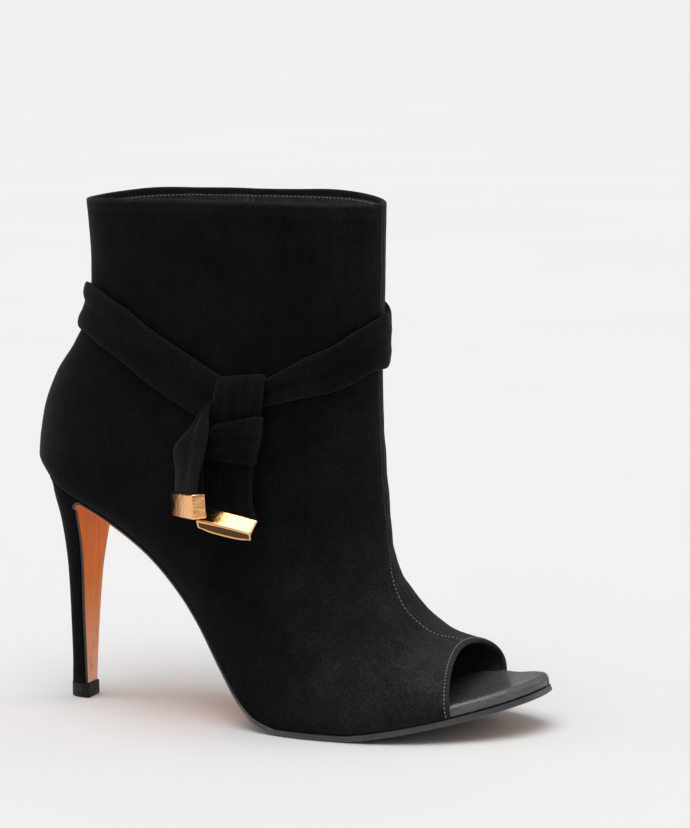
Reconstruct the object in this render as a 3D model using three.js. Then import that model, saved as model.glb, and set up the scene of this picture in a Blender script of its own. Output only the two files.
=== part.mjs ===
// Peep toe ankle boot with a stiletto heel and a knotted ankle strap, right shoe.
// Millimetres. X runs from the heel to the toe, Y to the inner side of the foot, Z up from the floor.
import * as THREE from 'three';

// Overall sizes
const footLength = 219; // rearmost point of the heel cup to the tip of the sole
const seatHeight = 96; // floor to the upper's edge at the back of the heel
const bootHeight = 211.5; // floor to the collar
const ballWidth = 76.5; // sole across the ball
const seatWidth = 42; // sole across the heel seat
const collarLength = 130; // collar, front to back, outside
const collarWidth = 43; // collar, side to side, outside
const collarBack = 23.2; // the collar's back lies this far ahead of the heel cup
const throat = 153.5; // heel cup to the front of the ankle
const archLength = 119; // heel cup to where the sole meets the floor
const treadLength = 29; // the sole lies flat on the floor over this length
const toeLength = 59; // from the tip back to where the sole's outline starts to close
const toeSpring = 15; // rise of the sole at its tip
const springBend = 1.25; // exponent: a larger one starts the rise more softly
const toeInward = 12; // the sole's tip lies this far to the inner side

// Toe opening and collar
const openingFoot = 30; // the opening's edge stands this far behind the tip at the sole
const openingTop = 33.8; // and this far at the ridge of the upper
const openingHeight = 33.6; // floor to the opening's top
const openingBow = { outer: 2.3, inner: 4.2 }; // the opening's sides lie this far ahead of its middle
const openingBowFrom = 0.6; // share of the foot from which the sections take on that bow
const collarRise = { outer: 1.2, inner: 3.4 }; // the collar's sides stand this far over its front
const collarRiseFrom = 0.55; // share of the shaft from which the sections take on that rise

// Thicknesses and clearances
const wall = 2; // suede and lining together
const soleThickness = 2.5;
const flapThickness = 1.3; // sole leather where it runs down the heel's front
const insoleThickness = 4.8;
const strapThickness = 2.4; // folded suede
const gap = 0.3; // between flat pieces that touch on the real shoe
const curvedGap = 0.45; // between curved ones
const strapGap = 0.7; // the strap lies loosely round the shaft
const edgeMargin = 0.9; // the sole stands this far outside the upper's edge
const toeMargin = 0.6; // the insole lies this far inside the sole's edge at the toe
const insoleGap = 0.9; // the insole's edge lies this far inside the upper's wall
const insoleFlare = 5; // the insole widens over this length ahead of the opening
const endCut = 0.15; // taken off the point of a round end
const softEdge = 0.18; // bevel of a layer's edge as a share of its thickness

// Heel
const seatBack = 4.4; // back end of the upper's lower edge
const breast = 22.2; // heel cup to the heel's front
const heelRoundness = 2.3; // exponent: a larger one makes a squarer back
const cornerRadius = 2.5; // of the sole where it turns down the heel's front
const cornerRoom = 0.2;
const flapMargin = 0.5; // the flap lies this far inside the heel's sides
const flapStretch = 20; // the sole thins to the flap's thickness over this length
const topPieceHeight = 6.1;
const topPieceMargin = 0.3; // it stands this far outside the heel's foot
const topPieceEdge = 0.3; // its bevel

// Knot, tails and metal tips
const bandWidth = 22; // the strap's width in the knot
const tipWidth = 24;
const tipDepth = 6.4;
const tipLength = 10;
const tipPocket = 3;
const tipsApart = 10.2; // the rear tip's middle hangs this far outside the front tip's
const tipBelly = 0.62; // share of the tip's depth that lies behind the suede's middle
const tipEdge = 0.6; // bevel round the tip's end
const tailStraight = tipPocket + 0.7; // straight end of a tail, most of it in the tip
const stripEdge = 0.5; // a strip's thickness at its edges as a share of that in its middle
const tipMouthEdge = 0.6; // the same for the pocket in the tip
const tipFrontEdge = 0.8; // the flat side's bevel: its depth at the edges as a share of the middle's
const tipBellyEdge = 0.59; // the same for the curved side
const tipBellyFullness = 4; // exponent: a larger one makes a flatter belly

// Fineness of the faceted surfaces
const shaftRows = 16;
const footRows = 22;
const sidePoints = 19;
const heelRows = 18;
const heelPoints = 9;
const soleRows = { toe: 9, middle: 36, seat: 7, corner: 4, flap: 9 };
const strapRows = { rear: 12, inner: 22, front: 9, across: 5 };
const stripRows = { loop: 12, wrap: 10, tail: 12 };
const toeRound = 26; // the rows lie closer together over this length at the tip
const bunching = 1.8; // exponent: a larger one draws points closer to a round end
const weldFineness = 1e4; // points that agree to a ten-thousandth of a millimetre are one

// Sole outline: half widths as shares of the ball's width, places as shares of the foot's length
const outline = [
  { at: 0.0, outer: 0.275, inner: 0.275 },
  { at: 0.171, outer: 0.275, inner: 0.272 },
  { at: 0.252, outer: 0.28, inner: 0.255 },
  { at: 0.342, outer: 0.315, inner: 0.25 },
  { at: 0.433, outer: 0.405, inner: 0.29 },
  { at: 0.524, outer: 0.485, inner: 0.375 },
  { at: 0.614, outer: 0.516, inner: 0.455 },
  { at: 0.685, outer: 0.508, inner: 0.495 },
  { at: 0.765, outer: 0.485, inner: 0.508 },
  { at: 1.0, outer: 0.47, inner: 0.505 },
];
const toeFullness = { outer: 1.5, inner: 1.85 }; // exponents: a larger one makes a squarer toe

// Underside of the last: places as shares of the arch's length, rise as a share of the seat's rise
const archRise = [
  { at: 0.028, rise: 1.0 },
  { at: 0.202, rise: 0.91 },
  { at: 0.335, rise: 0.823 },
  { at: 0.47, rise: 0.705 },
  { at: 0.597, rise: 0.55 },
  { at: 0.697, rise: 0.39 },
  { at: 0.782, rise: 0.228 },
  { at: 0.858, rise: 0.098 },
  { at: 0.925, rise: 0.03 },
  { at: 1.0, rise: 0.0 },
];

// Sections of the shaft, from the heel seat up to the collar. up and frontUp are shares of the
// shaft's height over the seat, back is a share of the collar's back, front of the throat and wide
// of the collar's width.
const shaftSections = [
  { up: 0.0, back: seatBack / collarBack, front: 1.0, frontUp: -0.065, wide: 0.647 },
  { up: 0.078, back: 0.0, front: 0.995, frontUp: 0.02, wide: 0.635 },
  { up: 0.222, back: 0.086, front: 0.9885, frontUp: 0.17, wide: 0.605 },
  { up: 0.372, back: 0.362, front: 0.9853, frontUp: 0.33, wide: 0.567 },
  { up: 0.485, back: 0.733, front: 0.985, frontUp: 0.46, wide: 0.54 },
  { up: 0.64, back: 1.08, front: 0.99, frontUp: 0.65, wide: 0.519 },
  { up: 0.775, back: 1.084, front: 0.9935, frontUp: 0.79, wide: 0.507 },
  { up: 1.0, back: 1.0, front: (collarBack + collarLength) / throat, frontUp: 1.0, wide: 0.5 },
];

// How the shaft's sections bulge: widest says how far forward a section is widest, and the fullness
// exponents run from 2, an ellipse, to larger ones for a boxier end.
const shaftBulge = [
  { up: 0.0, widest: 0.4, backFull: 3.4, frontFull: 4.5 },
  { up: 0.22, widest: 0.44, backFull: 3.5, frontFull: 4.6 },
  { up: 0.64, widest: 0.49, backFull: 3.6, frontFull: 4.9 },
  { up: 1.0, widest: 0.5, backFull: 3.6, frontFull: 5.0 },
];

// Sections of the foot, from the heel seat to the toe opening. at is the share of the way along the
// upper's lower edge, front the share of the way from the throat to the opening's top, fall the
// share of the fall between them. ridge, the ridge's place to the inner side, and the half widths
// outer and inner are shares of the ball's width.
const footSections = [
  { at: 0.07, front: 0.017, fall: 0.136, ridge: 0.013, outer: 0.369, inner: 0.366 },
  { at: 0.15, front: 0.028, fall: 0.255, ridge: 0.02, outer: 0.376, inner: 0.369 },
  { at: 0.27, front: 0.056, fall: 0.419, ridge: 0.04, outer: 0.398, inner: 0.377 },
  { at: 0.38, front: 0.1, fall: 0.552, ridge: 0.07, outer: 0.432, inner: 0.385 },
  { at: 0.48, front: 0.18, fall: 0.645, ridge: 0.1, outer: 0.475, inner: 0.407 },
  { at: 0.58, front: 0.327, fall: 0.76, ridge: 0.11, outer: 0.519, inner: 0.443 },
  { at: 0.68, front: 0.493, fall: 0.854, ridge: 0.11, outer: 0.546, inner: 0.477 },
  { at: 0.78, front: 0.67, fall: 0.932, ridge: 0.11, outer: 0.541, inner: 0.497 },
  { at: 0.89, front: 0.846, fall: 0.976, ridge: 0.11, outer: 0.483, inner: 0.502 },
  { at: 1.0, front: 1.0, fall: 1.0, ridge: 0.105, outer: 0.386, inner: 0.475 },
];
const footBulge = [
  { at: 0.0, widest: 0.4, backFull: 3.4, frontFull: 4.5 },
  { at: 0.07, widest: 0.38, backFull: 3.0, frontFull: 4.3 },
  { at: 0.15, widest: 0.36, backFull: 2.6, frontFull: 4.1 },
  { at: 0.3, widest: 0.36, backFull: 2.3, frontFull: 3.75 },
  { at: 0.48, widest: 0.34, backFull: 2.1, frontFull: 3.4 },
  { at: 0.68, widest: 0.27, backFull: 2.0, frontFull: 2.8 },
  { at: 1.0, widest: 0.25, backFull: 2.0, frontFull: 2.0 },
];
const throatInward = 1; // the shaft's front lies this far to the inner side

// Heel, from the floor up. up is a share of the seat's height at the heel's front, back and front
// are shares of the way from the heel cup to that front, wide is a half width as a share of the
// seat's width and follow says how far the level leans with the seat.
const heelSections = [
  { up: 0.0733, back: 0.502, front: 0.844, wide: 0.119, follow: 0.0 },
  { up: 0.22, back: 0.526, front: 0.856, wide: 0.146, follow: 0.0 },
  { up: 0.42, back: 0.526, front: 0.879, wide: 0.19, follow: 0.0 },
  { up: 0.62, back: 0.509, front: 0.919, wide: 0.238, follow: 0.1 },
  { up: 0.76, back: 0.467, front: 0.961, wide: 0.305, follow: 0.2 },
  { up: 0.87, back: 0.407, front: 0.988, wide: 0.385, follow: 0.45 },
  { up: 0.95, back: 0.303, front: 1.0, wide: 0.45, follow: 0.8 },
  { up: 1.0, back: 0.2185, front: 1.0, wide: 0.475, follow: 1.0 },
];

// Ankle strap: around runs from 0 at the back to 1 at the front on each side, top and bottom are
// shares of the shaft's height over the seat.
const strapOuterRear = [
  { around: 0.0, top: 0.684, bottom: 0.525 },
  { around: 0.18, top: 0.695, bottom: 0.535 },
  { around: 0.3, top: 0.61, bottom: 0.465 },
  { around: 0.4, top: 0.52, bottom: 0.39 },
  { around: 0.52, top: 0.415, bottom: 0.26 },
  { around: 0.6, top: 0.35, bottom: 0.205 },
];
const strapOuterFront = [
  { around: 0.615, top: 0.375, bottom: 0.3 },
  { around: 0.7, top: 0.46, bottom: 0.345 },
  { around: 0.8, top: 0.515, bottom: 0.385 },
  { around: 0.9, top: 0.575, bottom: 0.41 },
  { around: 1.0, top: 0.62, bottom: 0.425 },
];
const strapInner = [
  { around: 0.0, top: 0.684, bottom: 0.525 },
  { around: 0.25, top: 0.7, bottom: 0.54 },
  { around: 0.5, top: 0.697, bottom: 0.53 },
  { around: 0.8, top: 0.65, bottom: 0.47 },
  { around: 1.0, top: 0.62, bottom: 0.425 },
];
const strapEnds = { rear: 0.6, front: 0.615 };

// Knot on the outer side of the shaft. Its middle is given as shares of the throat and of the
// shaft's height. In the tables along, up, half and bow are shares of the band's width, lift is the
// distance from the boot in thicknesses of the strap, swing the share of the way from its lift at
// the knot to that at its tip, and lean, turn and tilt are degrees.
const knotAlong = 0.668 * throat;
const knotUp = seatHeight + 0.26 * (bootHeight - seatHeight);
const flatStrip = { lean: 0, turn: 0, tilt: 0, bow: 0 };

const loopRows = [
  { along: 0.018, up: 0.745, lift: 1.15, half: 0.464, lean: 6, tilt: -85 },
  { along: 0.014, up: 0.736, lift: 1.6, half: 0.473, lean: 6, tilt: -55 },
  { along: 0.009, up: 0.673, lift: 1.9, half: 0.482, lean: 6, tilt: -25, bow: 0.014 },
  { along: -0.014, up: 0.5, lift: 2.05, half: 0.495, lean: 7, bow: 0.023 },
  { along: -0.045, up: 0.25, lift: 1.85, half: 0.5, lean: 9, bow: 0.018 },
  { along: -0.08, up: -0.036, lift: 1.6, half: 0.5, lean: 11 },
];
const wrapRows = [
  { along: 0.01, up: -0.045, lift: 2.7, half: 0.51, lean: 12, tilt: -35 },
  { along: 0.0, up: -0.164, lift: 2.95, half: 0.514, lean: 10.5, tilt: -8, bow: 0.018 },
  { along: -0.023, up: -0.364, lift: 2.9, half: 0.505, lean: 6, bow: 0.027 },
  { along: -0.068, up: -0.59, lift: 2.75, half: 0.486, tilt: 5, bow: 0.023 },
  { along: -0.09, up: -0.755, lift: 2.45, half: 0.468, lean: -3, tilt: 30 },
];
const frontTailRows = [
  { along: -0.1, up: -0.14, lift: 1.5, half: 0.49, lean: 9 },
  { along: -0.17, up: -0.41, lift: 1.4, half: 0.495, lean: 4 },
  { along: -0.23, up: -0.77, lift: 1.2, half: 0.5, lean: -2, bow: 0.014 },
  { along: -0.26, up: -1.2, lift: 1.05, half: 0.5, lean: -6, tilt: -4, bow: 0.014 },
  { along: -0.2, up: -1.55, lift: 1.5, half: 0.5, lean: -9, tilt: -26 },
  { along: -0.09, up: -1.72, lift: 2.2, half: 0.5, lean: -10, tilt: -54 },
];
const rearTailRows = [
  { along: -0.615, up: 0.3, swing: 0, half: 0.064, lean: 20, turn: 20 },
  { along: -0.69, up: 0.045, swing: 0.19, half: 0.18, lean: 20, turn: 26 },
  { along: -0.79, up: -0.33, swing: 0.357, half: 0.4, lean: 12, turn: 31 },
  { along: -0.81, up: -0.62, swing: 0.524, half: 0.465, lean: 8, turn: 35 },
  { along: -0.82, up: -0.95, swing: 0.738, half: 0.49, lean: 7, turn: 39 },
  { along: -0.81, up: -1.22, swing: 1, half: 0.5, lean: 7, turn: 43 },
];
const rearTailLift = 2.2; // of the rear tail where it leaves the knot

const treadEnd = archLength + treadLength;
const openingPlace = footLength - openingFoot;
const shaftHeight = bootHeight - seatHeight;

const clamp = (value, low, high) => Math.min(high, Math.max(low, value));
const mix = (a, b, share) => a + (b - a) * share;
const radians = THREE.MathUtils.degToRad;
const sideSign = { outer: -1, inner: 1 };

// Reads a column of a table at a place between its rows, along a smooth line without overshoot
function read(rows, key, place, column) {
  const last = rows.length - 1;
  let row = 0;
  while (row < last - 1 && place > rows[row + 1][key]) row += 1;
  const slope = (i) => (rows[i + 1][column] - rows[i][column]) / (rows[i + 1][key] - rows[i][key]);
  const tangent = (i) => {
    if (i === 0) return slope(0);
    if (i === last) return slope(last - 1);
    const before = slope(i - 1);
    const after = slope(i);
    return before * after <= 0 ? 0 : (2 * before * after) / (before + after);
  };
  const span = rows[row + 1][key] - rows[row][key];
  const t = clamp((place - rows[row][key]) / span, 0, 1);
  const t2 = t * t;
  const t3 = t2 * t;
  const ends = (2 * t3 - 3 * t2 + 1) * rows[row][column] + (3 * t2 - 2 * t3) * rows[row + 1][column];
  const slopes = (t3 - 2 * t2 + t) * tangent(row) + (t3 - t2) * tangent(row + 1);
  return ends + slopes * span;
}

// Y of the sole's edge on one side, or of an outline that lies inside it by an inset
function soleEdge(x, side, inset = 0) {
  const free = read(outline, 'at', x / footLength, side) * ballWidth;
  const wide = mix(seatWidth / 2, free, clamp(x / breast - 1, 0, 1)) - inset;
  const back = clamp((x - seatBack + edgeMargin - inset) / (seatWidth / 2 - inset), 0, 1);
  const round = Math.sqrt(1 - (1 - back) ** 2);
  const taper = clamp((x - footLength + toeLength) / (toeLength - inset), 0, 1);
  const toe = Math.sqrt(1 - taper ** toeFullness[side]);
  return sideSign[side] * wide * round * toe + toeInward * (1 - toe);
}

// Height of the last's underside: the upper and the insole stand on it
function lastBottom(x) {
  const ahead = (x - treadEnd) / (footLength - treadEnd);
  if (ahead > 0) return soleThickness + toeSpring * ahead ** springBend;
  const rise = x > archLength ? 0 : read(archRise, 'at', x / archLength, 'rise');
  return soleThickness + (seatHeight - soleThickness) * rise;
}

// Unit vector square to the last's underside, pointing up
function lastNormal(x) {
  const step = 0.5;
  const slope = (lastBottom(x + step) - lastBottom(x - step)) / (2 * step);
  return new THREE.Vector3(-slope, 0, 1).normalize();
}

// A point over the last's underside on the middle line
function overLast(x, distance) {
  return new THREE.Vector3(x, 0, lastBottom(x)).addScaledVector(lastNormal(x), distance);
}

function shaftSection(up) {
  const get = (column) => read(shaftSections, 'up', up, column);
  const bulge = (column) => read(shaftBulge, 'up', up, column);
  const wide = get('wide') * collarWidth;
  return {
    start: new THREE.Vector3(get('back') * collarBack, 0, seatHeight + up * shaftHeight),
    end: new THREE.Vector3(get('front') * throat, throatInward, seatHeight + get('frontUp') * shaftHeight),
    outer: wide,
    inner: wide,
    outerFoot: 0,
    innerFoot: 0,
    widest: bulge('widest'),
    backFull: bulge('backFull'),
    frontFull: bulge('frontFull'),
    collar: clamp((up - collarRiseFrom) / (1 - collarRiseFrom), 0, 1) ** 2,
    opening: 0,
  };
}

function footSection(share) {
  const seat = shaftSection(0);
  const halfWidth = seat.outer / ballWidth;
  const ankle = { at: 0, front: 0, fall: 0, outer: halfWidth, inner: halfWidth };
  ankle.ridge = throatInward / ballWidth;
  const get = (column) => read([ankle, ...footSections], 'at', share, column);
  const bulge = (column) => read(footBulge, 'at', share, column);
  const x = mix(seatBack, openingPlace, share);
  const topX = mix(seat.end.x, footLength - openingTop, get('front'));
  const topZ = mix(seat.end.z, openingHeight, get('fall'));
  const outerFoot = Math.max(0, -soleEdge(x, 'outer', edgeMargin));
  const innerFoot = Math.max(0, soleEdge(x, 'inner', edgeMargin));
  const bulgeOverEdge = 1.01;
  return {
    start: overLast(x, curvedGap),
    end: new THREE.Vector3(topX, get('ridge') * ballWidth, topZ),
    outer: Math.max(get('outer') * ballWidth, outerFoot * bulgeOverEdge),
    inner: Math.max(get('inner') * ballWidth, innerFoot * bulgeOverEdge),
    outerFoot,
    innerFoot,
    widest: bulge('widest'),
    backFull: bulge('backFull'),
    frontFull: bulge('frontFull'),
    collar: 0,
    opening: clamp((share - openingBowFrom) / (1 - openingBowFrom), 0, 1) ** 2,
  };
}

// One section of the upper. place runs from 0 at the collar over 1 at the heel seat to 2 at the toe
function upperSection(place) {
  if (place <= 1) return shaftSection(1 - place);
  return footSection((place - 1) ** 2 * (3 - place));
}

// Dense half of a section, from the back or the sole to the front ridge, with its own measure of the
// way around, which counts both length and turning
function halfSection(section, side) {
  const wide = section[side];
  const foot = section[`${side}Foot`];
  const length = section.start.distanceTo(section.end);
  const { widest, backFull, frontFull } = section;
  const cut = (1 - (foot / wide) ** 2) ** (1 / backFull);
  const fine = 24;
  const turnWeight = 0.22;
  const points = [];
  for (let i = 0; i <= fine; i += 1) {
    const t = (i / fine) ** 2;
    const reach = (1 - t) * cut;
    points.push(new THREE.Vector2(widest * t * length, wide * Math.sqrt(Math.max(0, 1 - reach ** backFull))));
  }
  for (let i = fine - 1; i >= 0; i -= 1) {
    const t = (i / fine) ** 2;
    const y = wide * Math.sqrt(Math.max(0, 1 - (1 - t) ** frontFull));
    points.push(new THREE.Vector2((1 - (1 - widest) * t) * length, y));
  }
  const directions = points.slice(1).map((point, i) => point.clone().sub(points[i]).normalize());
  const marks = [0];
  for (let i = 1; i < points.length; i += 1) {
    const step = points[i].distanceTo(points[i - 1]) / length;
    const turn = i > 1 ? Math.acos(clamp(directions[i - 1].dot(directions[i - 2]), -1, 1)) : 0;
    marks.push(marks[i - 1] + step + turnWeight * turn);
  }
  const closed = foot === 0;
  const normals = points.map((point, i) => {
    if (i === 0 && closed) return new THREE.Vector2(-1, 0);
    if (i === points.length - 1) return new THREE.Vector2(1, 0);
    const along = directions[Math.max(0, i - 1)].clone().add(directions[i]).normalize();
    return new THREE.Vector2(-along.y, along.x);
  });
  return { points, normals, marks: marks.map((mark) => mark / marks[marks.length - 1]), closed };
}

// A point on the upper. around runs from 0 at the back or the sole to 1 at the front ridge, and
// outward is the distance outside the surface, negative for inside
function upperPoint(section, side, around, outward) {
  const half = section[`${side}Half`] ?? halfSection(section, side);
  section[`${side}Half`] = half;
  const last = half.points.length - 1;
  let i = 0;
  while (i < last - 1 && half.marks[i + 1] < around) i += 1;
  const t = clamp((around - half.marks[i]) / (half.marks[i + 1] - half.marks[i]), 0, 1);
  const flat = half.points[i].clone().lerp(half.points[i + 1], t);
  const normal = half.normals[i].clone().lerp(half.normals[i + 1], t).normalize();
  const steepest = 0.4;
  if (around === 0 && !half.closed) {
    flat.y += outward / Math.max(steepest, normal.y);
  } else {
    flat.addScaledVector(normal, outward);
    if (!half.closed) flat.x = Math.max(flat.x, 0);
  }
  const length = section.start.distanceTo(section.end);
  const point = section.start.clone().lerp(section.end, flat.x / length);
  point.y += sideSign[side] * flat.y;
  const sideways = Math.min(1, flat.y / section[side]) ** 2;
  point.z += collarRise[side] * section.collar * sideways;
  if (section.opening > 0) {
    const ahead = point.x + openingBow[side] * section.opening * sideways;
    point.z += lastBottom(ahead) - lastBottom(point.x);
    point.x = ahead;
  }
  return point;
}

// The place from low to high at which a test that fails there first holds
function search(low, high, passed) {
  let from = low;
  let to = high;
  const halvings = 30;
  for (let i = 0; i < halvings; i += 1) {
    const middle = (from + to) / 2;
    if (passed(middle)) to = middle;
    else from = middle;
  }
  return from;
}

// The outer side of the upper over a point of the side view
function outerSurface(x, z) {
  const section = upperSection(search(0, 2, (place) => {
    const { start, end } = upperSection(place);
    return (end.x - start.x) * (z - start.z) - (end.z - start.z) * (x - start.x) > 0;
  }));
  const half = halfSection(section, 'outer');
  const length = section.start.distanceTo(section.end);
  const reach = Math.hypot(x - section.start.x, z - section.start.z);
  let i = 0;
  while (i < half.points.length - 2 && half.points[i + 1].x < reach) i += 1;
  const span = half.points[i + 1].x - half.points[i].x;
  const y = mix(half.points[i].y, half.points[i + 1].y, (reach - half.points[i].x) / span);
  return new THREE.Vector3(x, mix(section.start.y, section.end.y, reach / length) - y, z);
}

function outerFrame(x, z) {
  const step = 1.5;
  const base = outerSurface(x, z);
  const along = outerSurface(x + step, z).sub(outerSurface(x - step, z)).normalize();
  const rise = outerSurface(x, z + step).sub(outerSurface(x, z - step)).normalize();
  const out = along.clone().cross(rise).normalize();
  return { base, along, rise: out.clone().cross(along).normalize(), out };
}

// Collects triangles over shared points and leaves out those that have no area
class Surface {
  constructor() {
    this.positions = [];
    this.triangles = [];
    this.known = new Map();
  }

  vertex(point) {
    const key = point.toArray().map((value) => Math.round(value * weldFineness)).join(' ');
    if (!this.known.has(key)) {
      this.known.set(key, this.positions.length / 3);
      this.positions.push(point.x, point.y, point.z);
    }
    return this.known.get(key);
  }

  triangle(a, b, c) {
    const corners = [a, b, c].map((point) => this.vertex(point));
    if (new Set(corners).size === 3) this.triangles.push(...corners);
  }

  quad(a, b, c, d) {
    this.triangle(a, b, c);
    this.triangle(a, c, d);
  }

  strip(left, right) {
    for (let i = 0; i < left.length - 1; i += 1) this.quad(left[i], left[i + 1], right[i + 1], right[i]);
  }

  // The closed body with its faces turned outward
  geometry() {
    const p = this.positions;
    const t = this.triangles;
    let volume = 0;
    for (let i = 0; i < t.length; i += 3) {
      const [a, b, c] = [0, 1, 2].map((k) => new THREE.Vector3().fromArray(p, t[i + k] * 3));
      volume += a.dot(b.cross(c));
    }
    if (volume < 0) for (let i = 0; i < t.length; i += 3) [t[i + 1], t[i + 2]] = [t[i + 2], t[i + 1]];
    const geometry = new THREE.BufferGeometry();
    geometry.setAttribute('position', new THREE.Float32BufferAttribute(p, 3));
    geometry.setIndex(t);
    geometry.computeVertexNormals();
    return geometry;
  }
}

// A solid through closed rings. Each ring runs out along one side and back along the other, so that
// its first half faces its second half, which is how the two ends are closed
function loft(rings) {
  const surface = new Surface();
  for (let r = 0; r < rings.length - 1; r += 1) {
    surface.strip([...rings[r], rings[r][0]], [...rings[r + 1], rings[r + 1][0]]);
  }
  const cap = (ring, turned) => {
    const half = ring.slice(0, ring.length / 2);
    const other = ring.slice(ring.length / 2).reverse();
    if (turned) surface.strip(other, half);
    else surface.strip(half, other);
  };
  cap(rings[0], true);
  cap(rings[rings.length - 1], false);
  return surface.geometry();
}

function makeUpper() {
  const surface = new Surface();
  const places = [];
  for (let i = 0; i <= shaftRows; i += 1) places.push(i / shaftRows);
  for (let i = 1; i <= footRows; i += 1) places.push(1 + i / footRows);
  const rows = places.map((place) => {
    const section = upperSection(place);
    const line = (side, outward) => {
      const points = [];
      for (let i = 0; i <= sidePoints; i += 1) {
        points.push(upperPoint(section, side, i / sidePoints, outward));
      }
      return points;
    };
    const ring = (outward) => [...line('outer', outward), ...line('inner', outward).reverse().slice(1)];
    return { outside: ring(0), inside: ring(-wall) };
  });
  for (let r = 0; r < rows.length - 1; r += 1) {
    surface.strip(rows[r].outside, rows[r + 1].outside);
    surface.strip(rows[r + 1].inside, rows[r].inside);
    const corners = (row, index) => [row.outside.at(index), row.inside.at(index)];
    if (places[r] >= 1) {
      surface.strip(corners(rows[r + 1], 0), corners(rows[r], 0));
      surface.strip(corners(rows[r], -1), corners(rows[r + 1], -1));
    }
  }
  const collar = rows[0];
  surface.strip(collar.inside, collar.outside);
  const opening = rows[rows.length - 1];
  surface.strip(opening.outside, opening.inside);
  return surface.geometry();
}

// Places along the sole from the tip of the toe back to the heel, closer together at a round end
function soleStations(from, to, roundBack) {
  const stations = [];
  const heel = roundBack ? seatWidth / 2 : 0;
  const ease = (count, at) => {
    for (let i = 0; i < count; i += 1) stations.push(at(i / count));
  };
  ease(soleRows.toe, (t) => to - toeRound * t ** bunching);
  ease(soleRows.middle, (t) => mix(to - toeRound, from + heel, t));
  if (roundBack) ease(soleRows.seat, (t) => from + heel * (1 - t) ** bunching);
  stations.push(from);
  return stations;
}

// Cross section of a flat layer: below and above are its lower and upper middle points
function layerRing(below, above, outer, inner) {
  const ring = [];
  const add = (share, y) => {
    const point = below.clone().lerp(above, share);
    point.y = y;
    ring.push(point);
  };
  const inset = Math.min(below.distanceTo(above) * softEdge, (inner - outer) / 4);
  add(0, outer + inset);
  add(softEdge, outer);
  add(1 - softEdge, outer);
  add(1, outer + inset);
  add(1, inner - inset);
  add(1 - softEdge, inner);
  add(softEdge, inner);
  add(0, inner - inset);
  return ring;
}

function heelLevel(up) {
  const get = (column) => read(heelSections, 'up', up, column);
  return {
    back: get('back') * breast,
    front: get('front') * breast,
    wide: get('wide') * seatWidth,
    height: (x) => up * (lastBottom(breast) - gap) + get('follow') * (lastBottom(x) - lastBottom(breast)),
  };
}

const heelFoot = topPieceHeight + gap;

// The sole from the tip of the toe over the arch to the heel seat, then down the heel's front
function makeOutsole() {
  const rings = [];
  const cornerLean = lastNormal(breast + cornerRadius).x;
  const cornerStart = breast + gap + cornerRadius * (1 + cornerLean) + cornerRoom;
  for (const x of soleStations(cornerStart, footLength - endCut, false)) {
    const thin = mix(flapThickness, soleThickness, clamp((x - cornerStart) / flapStretch, 0, 1));
    rings.push(layerRing(overLast(x, -thin), overLast(x, 0), soleEdge(x, 'outer'), soleEdge(x, 'inner')));
  }
  const normal = lastNormal(cornerStart);
  const middle = overLast(cornerStart, -cornerRadius);
  for (let i = 1; i <= soleRows.corner; i += 1) {
    const angle = mix(Math.atan2(normal.x, normal.z), -Math.PI / 2, i / soleRows.corner);
    const spoke = new THREE.Vector3(Math.sin(angle), 0, Math.cos(angle));
    const above = middle.clone().addScaledVector(spoke, cornerRadius);
    const below = middle.clone().addScaledVector(spoke, cornerRadius - flapThickness);
    const x = Math.max(above.x, breast);
    rings.push(layerRing(below, above, soleEdge(x, 'outer'), soleEdge(x, 'inner')));
  }
  const flapTop = middle.z - cornerRadius;
  for (let i = 1; i <= soleRows.flap; i += 1) {
    const z = mix(flapTop, heelFoot, i / soleRows.flap);
    const level = heelLevel(z / (lastBottom(breast) - gap));
    const wide = level.wide - flapMargin;
    const above = new THREE.Vector3(level.front + gap, 0, z);
    const below = above.clone().setX(above.x + flapThickness);
    rings.push(layerRing(below, above, -wide, wide));
  }
  return loft(rings);
}

function makeInsole() {
  const rings = [];
  const wallInset = edgeMargin + wall + insoleGap;
  const insetAt = (x, side) => {
    const clear = clamp((x - openingPlace - openingBow[side] - gap) / insoleFlare, 0, 1);
    return mix(wallInset, toeMargin, clear * clear * (3 - 2 * clear));
  };
  const back = seatBack - edgeMargin + wallInset + endCut;
  for (const x of soleStations(back, footLength - toeMargin - endCut, true)) {
    const outer = soleEdge(x, 'outer', insetAt(x, 'outer'));
    const inner = soleEdge(x, 'inner', insetAt(x, 'inner'));
    rings.push(layerRing(overLast(x, curvedGap), overLast(x, curvedGap + insoleThickness), outer, inner));
  }
  return loft(rings);
}

// A level of the heel: flat at the front, round at the back
function heelRing(back, front, wide, height) {
  const outer = [];
  for (let i = 0; i <= heelPoints; i += 1) {
    const t = (i / heelPoints) ** bunching;
    const x = mix(back, front, t);
    outer.push(new THREE.Vector3(x, -wide * Math.sqrt(1 - (1 - t) ** heelRoundness), height(x)));
  }
  const inner = outer.map((point) => new THREE.Vector3(point.x, -point.y, point.z));
  return [...outer, ...inner.reverse()];
}

function makeHeel() {
  const rings = [];
  const low = heelFoot / (lastBottom(breast) - gap);
  for (let i = 0; i <= heelRows; i += 1) {
    const level = heelLevel(mix(low, 1, i / heelRows));
    rings.push(heelRing(level.back, level.front, level.wide, level.height));
  }
  return loft(rings);
}

// The rubber block under the heel, which also covers the lower end of the sole's flap
function makeTopPiece() {
  const level = heelLevel(heelFoot / (lastBottom(breast) - gap));
  const ring = (height, inset) => {
    const margin = topPieceMargin - inset;
    const front = level.front + gap + flapThickness + margin;
    return heelRing(level.back - margin, front, level.wide + margin, () => height);
  };
  const sides = [ring(topPieceEdge, 0), ring(topPieceHeight - topPieceEdge, 0)];
  return loft([ring(0, topPieceEdge), ...sides, ring(topPieceHeight, topPieceEdge)]);
}

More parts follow.
